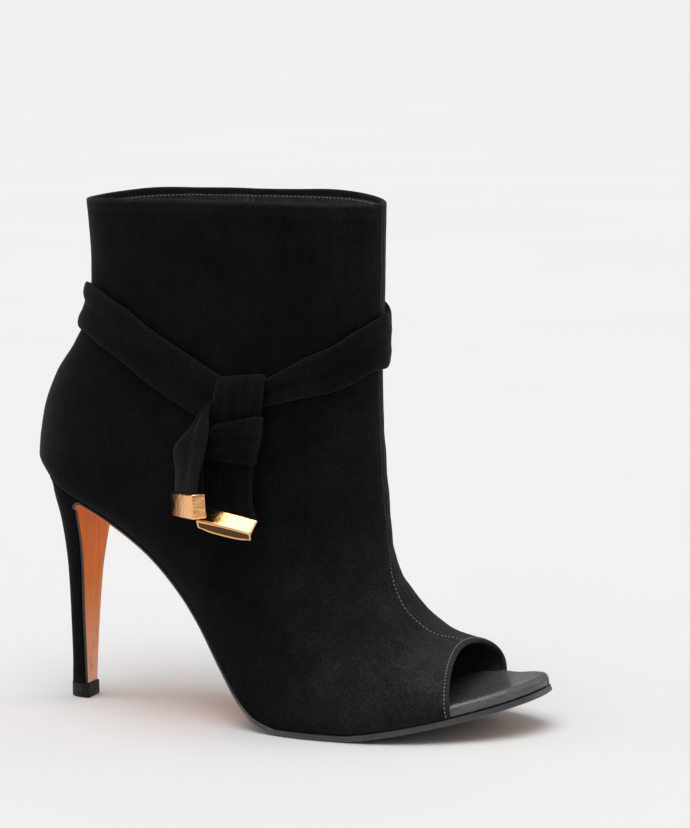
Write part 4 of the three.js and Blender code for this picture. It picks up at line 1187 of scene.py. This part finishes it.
@cached
def flap_bend():
    """Where the sole leaves the heel: the start of its level part, its lean there and the bend's middle."""
    corner = over_last(BREAST + CORNER_RADIUS, 0, 1) - over_last(BREAST + CORNER_RADIUS, 0, 0)
    start = BREAST + GAP + CORNER_RADIUS * (1 + unit(corner)[0]) + CORNER_ROOM
    lean = unit(over_last(start, 0, 1) - over_last(start, 0, 0))
    return start, lean, over_last(start, 0, -CORNER_RADIUS)


def filled_level(up):
    """A level of the heel whose front also fills the room under the sole's bend."""
    level, middle = heel_level(up), flap_bend()[2]
    above = up * heel_rise() - middle[2]
    if above > 0:
        away = math.sqrt(max(0.0, CORNER_RADIUS**2 - above**2))
        level["front"] = max(level["front"], min(middle[0] - away - 0.05, level["front"] + CORNER_RADIUS))
    return level


def make_heel(colours):
    ups = np.concatenate([np.linspace(HEEL_FOOT / heel_rise(), 0.95, 66)[:-1], np.linspace(0.95, 1, 14)])
    rings = [heel_ring(filled_level(up), 0, HEEL_CORNER) for up in ups]
    for share in (0.4, 0.75, 1.0):
        closing = heel_ring(filled_level(1.0), -0.5 * share**2, HEEL_CORNER)
        closing[:, 2] += (GAP + CURVED_GAP - 0.2) * share
        rings.append(closing)
    rings = np.array(rings)[::-1]
    piece = Skin(*SUEDE_FIELDS)
    piece.grid(rings, closed=True, rub=hump(rings[..., 2], HEEL_FOOT, 2.0, 0.4))
    piece.fan(rings[-1])
    piece.fan(rings[0], turned=True)
    piece.make("heel_cover", [suede_material(colours)], "heel", "suede")


def make_top_piece(colours):
    level = heel_level(HEEL_FOOT / heel_rise())
    level["front"] += GAP + FLAP_THICKNESS
    rings = np.array([heel_ring(level, TOP_PIECE_MARGIN - inset, TOP_PIECE_CORNER, height)
                      for height, inset in TOP_PIECE_LEVELS])[::-1]
    piece = Skin("rub")
    piece.grid(rings, closed=True)
    piece.fan(rings[-1])
    piece.fan(rings[0], turned=True)
    piece.make("top_piece_rubber", [rubber_material(colours)], "heel_top_piece", "heel_rubber")


def sole_profile(thick, shown):
    """Height and inset of the sole's edge from the tread up. Only the shown part of its thickness is
    upright, and what lies below is cut away at a slant."""
    rows = [(share * shown, inset * min(1.0, shown / FLAP_THICKNESS)) for share, inset in SOLE_EDGE]
    rows[0] = (-thick, SOLE_EDGE[0][1] + (thick - shown) * SOLE_SLANT)
    return rows


def make_outsole(colours):
    start, lean, middle = flap_bend()
    flat = sole_profile(FLAP_THICKNESS, FLAP_THICKNESS)
    rings = []
    for share in stations_of(150)[::-1]:
        x = mix(start, FOOT_LENGTH - END_CUT, share)
        thick = mix(FLAP_THICKNESS, SOLE_THICKNESS, float(np.clip((x - start) / FLAP_STRETCH, 0, 1)))
        upright = float(rises(x, ARCH_EDGE_FROM, ARCH_EDGE_FROM + ARCH_EDGE_STRETCH))
        profile = sole_profile(thick, mix(ARCH_EDGE, thick, upright))
        rings.append(layer_ring(profile, SOLE_STRIPS, start, FOOT_LENGTH, lambda x, side: 0.0, share))

    def flap_ring(at, outward, edges):
        """A section of the flap: at lies on the heel's side and outward points away from the heel."""
        halves = []
        for y in edges:
            edge, inward = at + np.array([0, y, 0]), np.array([0, -np.sign(y), 0])
            halves.append(np.array([edge - outward * height + inward * min(inset, FLAP_EDGE_INSET)
                                    for height, inset in flat]))
        return flat_ring(*halves, SOLE_STRIPS)

    first = math.atan2(lean[0], lean[2])
    for i in range(1, FLAP_BEND_RINGS + 1):
        angle = mix(first, -math.pi / 2, i / FLAP_BEND_RINGS)
        spoke = np.array([math.sin(angle), 0, math.cos(angle)])
        at = middle + spoke * CORNER_RADIUS
        edges = [float(sole_edge(max(at[0], BREAST), side)) for side in SIDES]
        rings.append(flap_ring(at, -spoke, edges))
    for i in range(1, FLAP_RINGS + 1):
        z = mix(middle[2], HEEL_FOOT, i / FLAP_RINGS)
        level = heel_level(z / heel_rise())
        wide = level["wide"] - FLAP_MARGIN
        close = mix(GAP, FLAP_GAP, min(1.0, (middle[2] - z) / 4))
        at = np.array([level["front"] + close, 0, z])
        rings.append(flap_ring(at, np.array([1.0, 0, 0]), (-wide, wide)))
    rings = np.array(rings)
    # The leather is the underside with its slants, and all else is the painted edge
    slots = np.ones(rings.shape[1], int)
    slots[0] = 0
    slots[2 * len(flat) + SOLE_STRIPS - 3:] = 0
    piece = Skin("rub")
    piece.solid(rings, slots, 1)
    materials = [sole_material(colours), edge_material(colours)]
    piece.make("outsole_leather", materials, "outsole", "sole_leather")


# Strap and knot
def band_profile(count):
    """Places across a band and half its thickness there, with soft edges."""
    u = np.sin(np.linspace(-math.pi / 2, math.pi / 2, count))
    return u, STRAP_THICKNESS / 2 * np.clip(1 - np.abs(u) ** 8, 0, 1) ** 0.5


def soft_folds(u, folds):
    """Folds that end before the band's edges."""
    return folds * np.clip(1 - np.abs(u) ** 6, 0, 1)


def band_ring(line, face, low, high):
    """A cross section of a band from its under and upper heights over a line."""
    return np.concatenate([line + face * low[:, None], (line + face * high[:, None])[::-1]])


def make_band(name, node, rings, rubs, colours):
    rubs = np.array([np.concatenate([rub, rub[::-1]]) for rub in rubs])
    piece = Skin(*SUEDE_FIELDS)
    piece.solid(np.array(rings), rub=rubs)
    piece.make(name, [suede_material(colours)], node, "suede")


def on_shaft(side, around, heights):
    """Points and normals of the shaft at a place around it and at some heights."""
    shape = upper_shape()
    column = around * SIDE_POINTS if side == "outer" else 2 * SIDE_POINTS - around * SIDE_POINTS
    low = int(min(math.floor(column), 2 * SIDE_POINTS - 1))
    line, out = (mix(grid[:SHAFT_ROWS, low], grid[:SHAFT_ROWS, low + 1], column - low)
                 for grid in (shape["points"], shape["normals"]))
    order = np.argsort(line[:, 2])

    def at_heights(values):
        return np.stack([np.interp(heights, line[order, 2], values[order, k]) for k in range(3)], -1)

    return at_heights(line), unit(at_heights(out))


def strap_folds(u, run):
    """Height of the strap's lengthwise folds, in millimetres. run goes once round the ankle."""
    return (hump(u, 0.3 + 0.25 * math.sin(run * 5.1), 0.24, 0.5)
            + hump(u, -0.45 - 0.2 * math.sin(run * 4.3 + 1), 0.2, 0.35)
            - hump(u, -0.05 + 0.2 * math.sin(run * 3.7 + 2), 0.16, 0.35))


def make_strap(colours):
    u, half = band_profile(19)
    middle = STRAP_GAP + STRAP_THICKNESS / 2
    rings, rubs = [], []
    for side, table, places, start, end in (
            ("outer", STRAP_OUTER_REAR, np.linspace(STRAP_ENDS["rear"], 0, 60)[:-1], 0, STRAP_TURNS["back"]),
            ("inner", STRAP_INNER, np.linspace(0, 1, 96)[:-1], STRAP_TURNS["back"], STRAP_TURNS["front"]),
            ("outer", STRAP_OUTER_FRONT, np.linspace(1, STRAP_ENDS["front"], 44), STRAP_TURNS["front"], 1)):
        for around, run in zip(places, np.linspace(start, end, len(places))):
            row = table.row(around)
            sway = 0.006 * math.sin(run * 31) + 0.004 * math.sin(run * 53 + 1)
            share = mix(row["bottom"], row["top"], (u + 1) / 2) + sway
            where, face = on_shaft(side, around, SEAT_HEIGHT + share * SHAFT_HEIGHT)
            folds = soft_folds(u, strap_folds(u, run * 2 * math.pi))
            rings.append(band_ring(where, face, middle - half, middle + half + folds))
            # Painted highlight along the strap's edges and fold crests, with some rubbed nap
            rubs.append(0.5 * np.abs(u) ** 5 + 0.2 * np.clip(folds, 0, 1))
    make_band("ankle_strap_band", "ankle_strap", rings, rubs, colours)


def strip_row(rows, key):
    return Table(STRIP_COLUMNS, [(i, *row) for i, row in enumerate(rows)]).row(key)


def knot_frame(row):
    """The frame of the upper's outer side at one row of a strip."""
    return outer_frame(KNOT_ALONG + row["along"] * BAND_WIDTH, KNOT_UP + row["up"] * BAND_WIDTH)


def strip_frame(row):
    """A strip's middle at one row, and its directions across, outward and along."""
    base, along, rise, out = knot_frame(row)
    lean, turn, tilt = (math.radians(row[name]) for name in ("lean", "turn", "tilt"))
    flat = along * math.cos(lean) + rise * math.sin(lean)
    across = flat * math.cos(turn) + out * math.sin(turn)
    down = unit(np.cross(flat, out))
    square = unit(np.cross(down, across))
    face = square * math.cos(tilt) + down * math.sin(tilt)
    centre = base + out * (row["lift"] + 0.5) * STRAP_THICKNESS
    return centre, across, face, unit(np.cross(across, face))


@cached
def rear_tail_rows():
    """The rear tail with its lifts, which bring its tip clear of the front one."""
    front = strip_frame(strip_row(TAIL_FRONT, len(TAIL_FRONT) - 1))[0]
    end = strip_row(TAIL_REAR, len(TAIL_REAR) - 1)
    base, *_, out = knot_frame(end)
    lift = (TIPS_APART - (base - front) @ out) / STRAP_THICKNESS - 0.5
    return [(along, up, mix(REAR_TAIL_LIFT, lift, swing), *rest)
            for (along, up, _, *rest), swing in zip(TAIL_REAR, TAIL_REAR_SWING)]


def make_strip(name, node, rows, folds, colours, straight=0.0):
    """A strip of suede. folds gives the height of its creases at places across and a share along, and
    straight is the length that its end runs on into a tip."""
    u, half = band_profile(25)
    rings, rubs = [], []

    def add_ring(centre, across, face, height):
        bow = row["bow"] * BAND_WIDTH * (1 - u * u)
        soft = soft_folds(u, height)
        wide = row["half"] * BAND_WIDTH
        line = centre + across * (u * wide)[:, None]
        rings.append(band_ring(line, face, bow - half + 0.35 * soft, bow + half + soft))

    for share in np.linspace(0, 1, 65):
        row = strip_row(rows, share * (len(rows) - 1))
        centre, across, face, along = strip_frame(row)
        add_ring(centre, across, face, folds(u, share))
        # Painted highlight along the strip's edges and fold crests, with some rubbed nap
        rubs.append(0.45 * np.abs(u) ** 6 + 0.35 * np.clip(folds(u, share), 0, 1))
    for part in (0.35, 0.7, 1.0) if straight else ():
        add_ring(centre + along * straight * part, across, face, folds(u, 1.0) * (1 - part))
        rubs.append(rubs[-1])
    make_band(name, node, rings, rubs, colours)


def loop_folds(u, t):
    ridges = (hump(u, 0.1 + 0.1 * t, 0.1, 0.75) + hump(u, -0.42, 0.13, 0.5)
              + hump(u, 0.62 - 0.1 * t, 0.12, 0.5))
    troughs = hump(u, -0.08, 0.09, 0.5) + hump(u, 0.38, 0.1, 0.4) + hump(u, -0.7, 0.12, 0.35)
    return (0.35 + 0.65 * t) * (ridges - troughs)


def wrap_folds(u, t):
    first = np.sin((t * 3.1 + 0.12 * u) * 2 * math.pi) * 0.42
    second = np.sin((t * 5.3 - 0.35 * u + 0.2) * 2 * math.pi) * 0.22
    pinched = (0.25 + 0.75 * np.abs(u) ** 2.2) * (0.4 + 0.6 * math.sin(math.pi * t))
    return (first + second) * pinched + hump(t, 0, 0.1, 0.5) + hump(t, 1, 0.1, 0.4)


def front_tail_folds(u, t):
    ridges = hump(u, -0.3 + 0.05 * t, 0.1, 0.55) + hump(u, 0.32, 0.12, 0.6)
    troughs = hump(u, 0.02, 0.1, 0.55) + hump(u, 0.66, 0.1, 0.4)
    gathered = 0.3 + 0.7 * (1 - t) ** 0.7
    return gathered * (ridges - troughs) + 0.25 * math.sin(t * 9) * (1 - t)


def rear_tail_folds(u, t):
    gathered = 0.7 * (1 - t) ** 0.6
    folds = hump(u, 0.5, 0.22, 0.9) - hump(u, 0.1, 0.2, 0.7) + hump(u, -0.5, 0.22, 0.6)
    return gathered * folds + hump(u, 0.3 - 0.7 * t, 0.3, 0.15)


def make_knot(colours):
    make_strip("knot_loop_band", "knot_loop", LOOP, loop_folds, colours)
    make_strip("knot_wrap_band", "knot_wrap", WRAP, wrap_folds, colours)
    make_strip("tail_front_band", "tail_front", TAIL_FRONT, front_tail_folds, colours, TAIL_STRAIGHT)
    make_strip("tail_rear_band", "tail_rear", rear_tail_rows(), rear_tail_folds, colours, TAIL_STRAIGHT)


# Metal tips
def tip_outline(inset, side_depth):
    """Cross section of a tip: nearly flat outside, curved on the side of the boot, with round corners.
    side_depth is the share of the curved side's depth that its ends keep."""
    wide = TIP_WIDTH / 2 - inset
    front, back = TIP_DEPTH * (1 - TIP_BELLY) - inset, TIP_DEPTH * TIP_BELLY - inset
    radius = max(0.15, TIP_CORNER - inset * 0.3)
    u = np.linspace(-1, 1, 27)
    belly = -back * np.maximum(side_depth, np.sqrt(np.clip(1 - np.abs(u) ** 3.2, 0, 1)))
    lower = np.stack([u * (wide - np.where(np.abs(u) > 0.99, radius * 0.8, 0)), belly], -1)
    low_turn, high_turn = np.linspace(-math.pi / 2, 0, 5)[1:], np.linspace(0, math.pi / 2, 6)
    corner = [(math.cos(a), belly[-1] + radius + radius * math.sin(a)) for a in low_turn]
    corner += [(math.cos(a), front - radius + radius * math.sin(a)) for a in high_turn]
    right = np.array([(wide - radius + radius * x, y) for x, y in corner])
    v = np.linspace(1, -1, 15)[1:-1]
    crown = np.stack([v * (wide - radius), front + TIP_CROWN * (1 - v * v)], -1)
    return np.concatenate([lower, right, crown, right[::-1] * (-1, 1)])


def make_tip(name, node, rows, end, colours):
    """A tip from the floor of its mouth, over its rim and sides, to the recess at its end."""
    centre, across, face, along = strip_frame(strip_row(rows, len(rows) - 1))
    floor = TAIL_STRAIGHT + GAP
    mouth = floor - TIP_POCKET
    foot = mouth + TIP_LENGTH[end]
    levels = [(floor, TIP_MOUTH_FLOOR, 0, 0)]
    levels += [(mouth + past, inset, rub, 0) for past, inset, rub in TIP_MOUTH]
    levels += [(distance, 0, 0, 0) for distance in np.linspace(mouth + 1.2, foot - 1.0, 8)]
    levels += [(foot - before, inset, rub, shade) for before, inset, rub, shade in TIP_END]
    rings = []
    for distance, inset, _, _ in levels:
        outline = tip_outline(inset, TIP_SIDE_DEPTH[end])
        rings.append(centre + along * distance + outline[:, :1] * across + outline[:, 1:] * face)
    middle = centre + along * levels[-1][0]
    recess = [mix(rings[-1], middle, share) for share in (0.35, 0.7, 1.0)]
    looks = np.array([level[2:] for level in levels] + [(0, 1)] * len(recess), float)
    piece = Skin("rub", "shade")
    piece.grid(np.array(rings + recess), closed=True, turned=True, rub=looks[:, :1], shade=looks[:, 1:])
    piece.make(name, [gold_material(colours)], node, "gold_metal", sharp=60)


def make_tips(colours):
    make_tip("tip_front_metal", "tip_front", TAIL_FRONT, "front", colours)
    make_tip("tip_rear_metal", "tip_rear", rear_tail_rows(), "rear", colours)


# Stage
def make_floor(colours):
    mesh = bpy.data.meshes.new("floor")
    corners = [(x * FLOOR_REACH, y * FLOOR_REACH, 0) for x, y in ((-1, -1), (1, -1), (1, 1), (-1, 1))]
    mesh.from_pydata(corners, [], [(0, 1, 2, 3)])
    floor = bpy.data.objects.new("floor", mesh)
    bpy.context.scene.collection.objects.link(floor)
    material, tree, surface, where = new_material("pale floor", Roughness=0.75, Specular_IOR_Level=0.25)
    soft = ramp(tree, noise_value(tree, where, 3.0), 0.3, 0.7)
    colour = blend_colour(tree, soft, rgba(colours.floor), rgba(colours.floor, 0.985))
    feed(tree, surface, {"Base Color": colour})
    mesh.materials.append(material)


def soft_panel(tree, direction, toward, core, edge, strength):
    """Light from a round panel of the surroundings, from its middle's direction and two angles."""
    middle = tuple(Vector(toward).normalized())
    near = add(tree, "ShaderNodeVectorMath", {0: direction, 1: middle}, operation="DOT_PRODUCT")["Value"]
    return ramp(tree, near, math.cos(math.radians(edge)), math.cos(math.radians(core)), 0.0, strength)


def make_lights(stage):
    world = bpy.data.worlds.new("studio")
    world.use_nodes = True
    tree = world.node_tree
    direction = tree.nodes.new("ShaderNodeTexCoord").outputs["Generated"]
    up = parts_of(tree, direction)[2]
    light = ramp(tree, up, -0.1, 0.6, stage.surroundings * 0.8, stage.surroundings)
    for toward, core, edge, strength in (
            ((0.0, -0.2, 1.0), 20, 31, stage.overhead),
            ((-1.0, -0.25, 0.3), 12, 26, stage.left),
            ((0.75, 0.55, 0.5), 10, 24, stage.right)):
        panel = soft_panel(tree, direction, toward, core, edge, strength)
        light = math_node(tree, "ADD", light, panel)
    feed(tree, tree.nodes["Background"].inputs, {"Color": light, "Strength": 1.0})
    bpy.context.scene.world = world


def make_camera():
    """The photograph's view, whose frame is 690 by 828."""
    yaw, pitch, roll = (math.radians(angle) for angle in (CAMERA_YAW, CAMERA_PITCH, CAMERA_ROLL))
    right = Vector((math.cos(yaw), math.sin(yaw), 0))
    ahead = Vector((-math.sin(yaw) * math.cos(pitch), math.cos(yaw) * math.cos(pitch), -math.sin(pitch)))
    up = right.cross(ahead)
    turned_right = right * math.cos(roll) + up * math.sin(roll)
    turned_up = up * math.cos(roll) - right * math.sin(roll)
    eye = (Vector(CAMERA_EYE) + Vector(SHIFT)) * 0.001
    camera = bpy.data.cameras.new("camera")
    camera.sensor_width, camera.lens = CAMERA_SENSOR, CAMERA_LENS
    camera.clip_start, camera.clip_end = 0.05, 100.0
    holder = bpy.data.objects.new("camera", camera)
    axes = Matrix((turned_right, turned_up, -ahead)).transposed()
    holder.matrix_world = Matrix.Translation(eye) @ axes.to_4x4()
    bpy.context.scene.collection.objects.link(holder)
    bpy.context.scene.camera = holder


# Settings
def length_setting(name, description, millimetres, low, high):
    return FloatProperty(name=name, description=description, default=millimetres * 0.001, min=low * 0.001,
                         max=high * 0.001, precision=5, subtype="DISTANCE", unit="LENGTH")


def colour_setting(name, description, default):
    return FloatVectorProperty(name=name, description=description, default=default, subtype="COLOR",
                               size=3, min=0, max=1)


def strength_setting(name, description, default):
    return FloatProperty(name=name, description=description, default=default, min=0, max=50)


class BootSizes(bpy.types.PropertyGroup):
    """Sizes of the boot's finish"""

    stitch_pitch: length_setting("Stitch pitch", "From one stitch to the next", 1.75, 0.8, 6)
    stitch_length: length_setting("Stitch length", "Length of one stitch", 1.1, 0.4, 5)
    stitch_radius: length_setting("Thread radius", "Half the thread's thickness", 0.19, 0.05, 0.8)
    seam_margin: length_setting("Seam margin", "From a seam to its stitches", 1.3, 0.5, 4)
    opening_margin: length_setting("Opening margin", "From the opening's edge to its stitches", 2.0, 1, 6)
    turned_edge: length_setting("Turned edge", "How far the suede is turned in at an edge", 1.8, 0.5, 6)
    insole_cup: length_setting("Insole cup", "Rise of the insole's inner edge by the opening", 2.6, 0, 5)


class BootColours(bpy.types.PropertyGroup):
    """Colours of the boot's materials and of the floor"""

    suede: colour_setting("Suede", "Suede where its nap lies flat", (0.0012, 0.0012, 0.0013))
    # The raised nap colour also carries the suede's painted light and painted highlights
    nap: colour_setting("Raised nap", "Suede where its nap is brushed up", (0.031, 0.031, 0.032))
    # Painted shade at the bottom of a sewn seam
    groove: colour_setting("Seam groove", "Bottom of a sewn seam", (0.001, 0.001, 0.001))
    dust: colour_setting("Dust", "Dust and scuffs", (0.11, 0.108, 0.105))
    lining: colour_setting("Lining", "Lining leather", (0.02, 0.02, 0.021))
    insole: colour_setting("Insole", "Insole leather", (0.028, 0.029, 0.03))
    sole: colour_setting("Sole", "Underside of the sole and front of the heel", (0.84, 0.245, 0.022))
    # Leather that is paler low down, toward the foot of the heel
    paler_sole: colour_setting("Paler sole", "Leather toward the foot of the heel", (0.9, 0.5, 0.36))
    tread: colour_setting("Tread", "Leather where it meets the floor", (0.07, 0.062, 0.056))
    edge: colour_setting("Sole edge", "Painted edge of the sole", (0.035, 0.036, 0.04))
    rubber: colour_setting("Rubber", "Top piece under the heel", (0.004, 0.004, 0.0045))
    gold: colour_setting("Gold", "Metal tips", (0.92, 0.46, 0.185))
    # Painted shade for the metal in the recess at a tip's end
    recess: colour_setting("Shaded gold", "Metal in the recess at a tip's end", (0.03, 0.016, 0.008))
    thread: colour_setting("Thread", "Sewing thread", (0.24, 0.24, 0.24))
    floor: colour_setting("Floor", "Studio floor", (0.728, 0.728, 0.728))


class BootStage(bpy.types.PropertyGroup):
    """Strengths of the lights round the boot"""

    surroundings: strength_setting("Surroundings", "Strength of the light from all round", 0.42)
    overhead: strength_setting("Overhead panel", "Strength of the soft panel above", 3.9)
    left: strength_setting("Left panel", "Strength of the soft panel at the heel's side", 1.6)
    right: strength_setting("Right panel", "Strength of the soft panel behind the toe", 1.2)


def sizes_in_millimetres(context):
    """The size settings in the shoe's own unit."""
    settings = context.scene.boot_sizes
    return SimpleNamespace(**{name: getattr(settings, name) * 1000 for name in BootSizes.__annotations__})


class BOOT_OT_stage(bpy.types.Operator):
    """Makes the floor, the lights and the camera"""

    bl_idname = "boot.make_stage"
    bl_label = "Stage"

    def execute(self, context):
        make_floor(context.scene.boot_colours)
        make_lights(context.scene.boot_stage)
        make_camera()
        context.scene.view_settings.view_transform = "Standard"
        return {"FINISHED"}


class BOOT_OT_upper(bpy.types.Operator):
    """Makes the suede upper and its lining"""

    bl_idname = "boot.make_upper"
    bl_label = "Upper"

    def execute(self, context):
        make_upper(sizes_in_millimetres(context), context.scene.boot_colours)
        return {"FINISHED"}


class BOOT_OT_stitches(bpy.types.Operator):
    """Makes the rows of stitches at the seams and the edges"""

    bl_idname = "boot.make_stitches"
    bl_label = "Stitches"

    def execute(self, context):
        make_stitches(sizes_in_millimetres(context), context.scene.boot_colours)
        return {"FINISHED"}


class BOOT_OT_insole(bpy.types.Operator):
    """Makes the leather covered insole"""

    bl_idname = "boot.make_insole"
    bl_label = "Insole"

    def execute(self, context):
        make_insole(sizes_in_millimetres(context), context.scene.boot_colours)
        return {"FINISHED"}


class BOOT_OT_outsole(bpy.types.Operator):
    """Makes the leather sole with its painted edge and the flap down the heel"""

    bl_idname = "boot.make_outsole"
    bl_label = "Outsole"

    def execute(self, context):
        make_outsole(context.scene.boot_colours)
        return {"FINISHED"}


class BOOT_OT_heel(bpy.types.Operator):
    """Makes the suede covered heel and its rubber top piece"""

    bl_idname = "boot.make_heel"
    bl_label = "Heel"

    def execute(self, context):
        make_heel(context.scene.boot_colours)
        make_top_piece(context.scene.boot_colours)
        return {"FINISHED"}


class BOOT_OT_strap(bpy.types.Operator):
    """Makes the strap round the ankle"""

    bl_idname = "boot.make_strap"
    bl_label = "Ankle strap"

    def execute(self, context):
        make_strap(context.scene.boot_colours)
        return {"FINISHED"}


class BOOT_OT_knot(bpy.types.Operator):
    """Makes the knot and the strap's two tails"""

    bl_idname = "boot.make_knot"
    bl_label = "Knot and tails"

    def execute(self, context):
        make_knot(context.scene.boot_colours)
        return {"FINISHED"}


class BOOT_OT_tips(bpy.types.Operator):
    """Makes the metal tips on the tails"""

    bl_idname = "boot.make_tips"
    bl_label = "Metal tips"

    def execute(self, context):
        make_tips(context.scene.boot_colours)
        return {"FINISHED"}


MAKERS = (BOOT_OT_stage, BOOT_OT_upper, BOOT_OT_stitches, BOOT_OT_insole, BOOT_OT_outsole, BOOT_OT_heel,
          BOOT_OT_strap, BOOT_OT_knot, BOOT_OT_tips)
SETTINGS = {"boot_sizes": BootSizes, "boot_colours": BootColours, "boot_stage": BootStage}


class BOOT_PT_panel(bpy.types.Panel):
    """Lists the boot's sizes, colours and makers"""

    bl_idname = "BOOT_PT_panel"
    bl_label = "Peep toe boot"
    bl_space_type = "VIEW_3D"
    bl_region_type = "UI"
    bl_category = "Boot"

    def draw(self, context):
        for settings, group_class in SETTINGS.items():
            box = self.layout.box()
            for name in group_class.__annotations__:
                box.prop(getattr(context.scene, settings), name)
        for maker in MAKERS:
            self.layout.operator(maker.bl_idname)


CLASSES = (*SETTINGS.values(), *MAKERS, BOOT_PT_panel)


def register():
    for cls in CLASSES:
        bpy.utils.register_class(cls)
    for name, group_class in SETTINGS.items():
        setattr(bpy.types.Scene, name, PointerProperty(type=group_class))


def unregister():
    for name in SETTINGS:
        delattr(bpy.types.Scene, name)
    for cls in reversed(CLASSES):
        bpy.utils.unregister_class(cls)


def main():
    register()
    for maker in MAKERS:
        area, name = maker.bl_idname.split(".")
        done = getattr(getattr(bpy.ops, area), name)()
        if done != {"FINISHED"}:
            raise RuntimeError(f"{maker.bl_label} was not made")


if __name__ == "__main__":
    main()
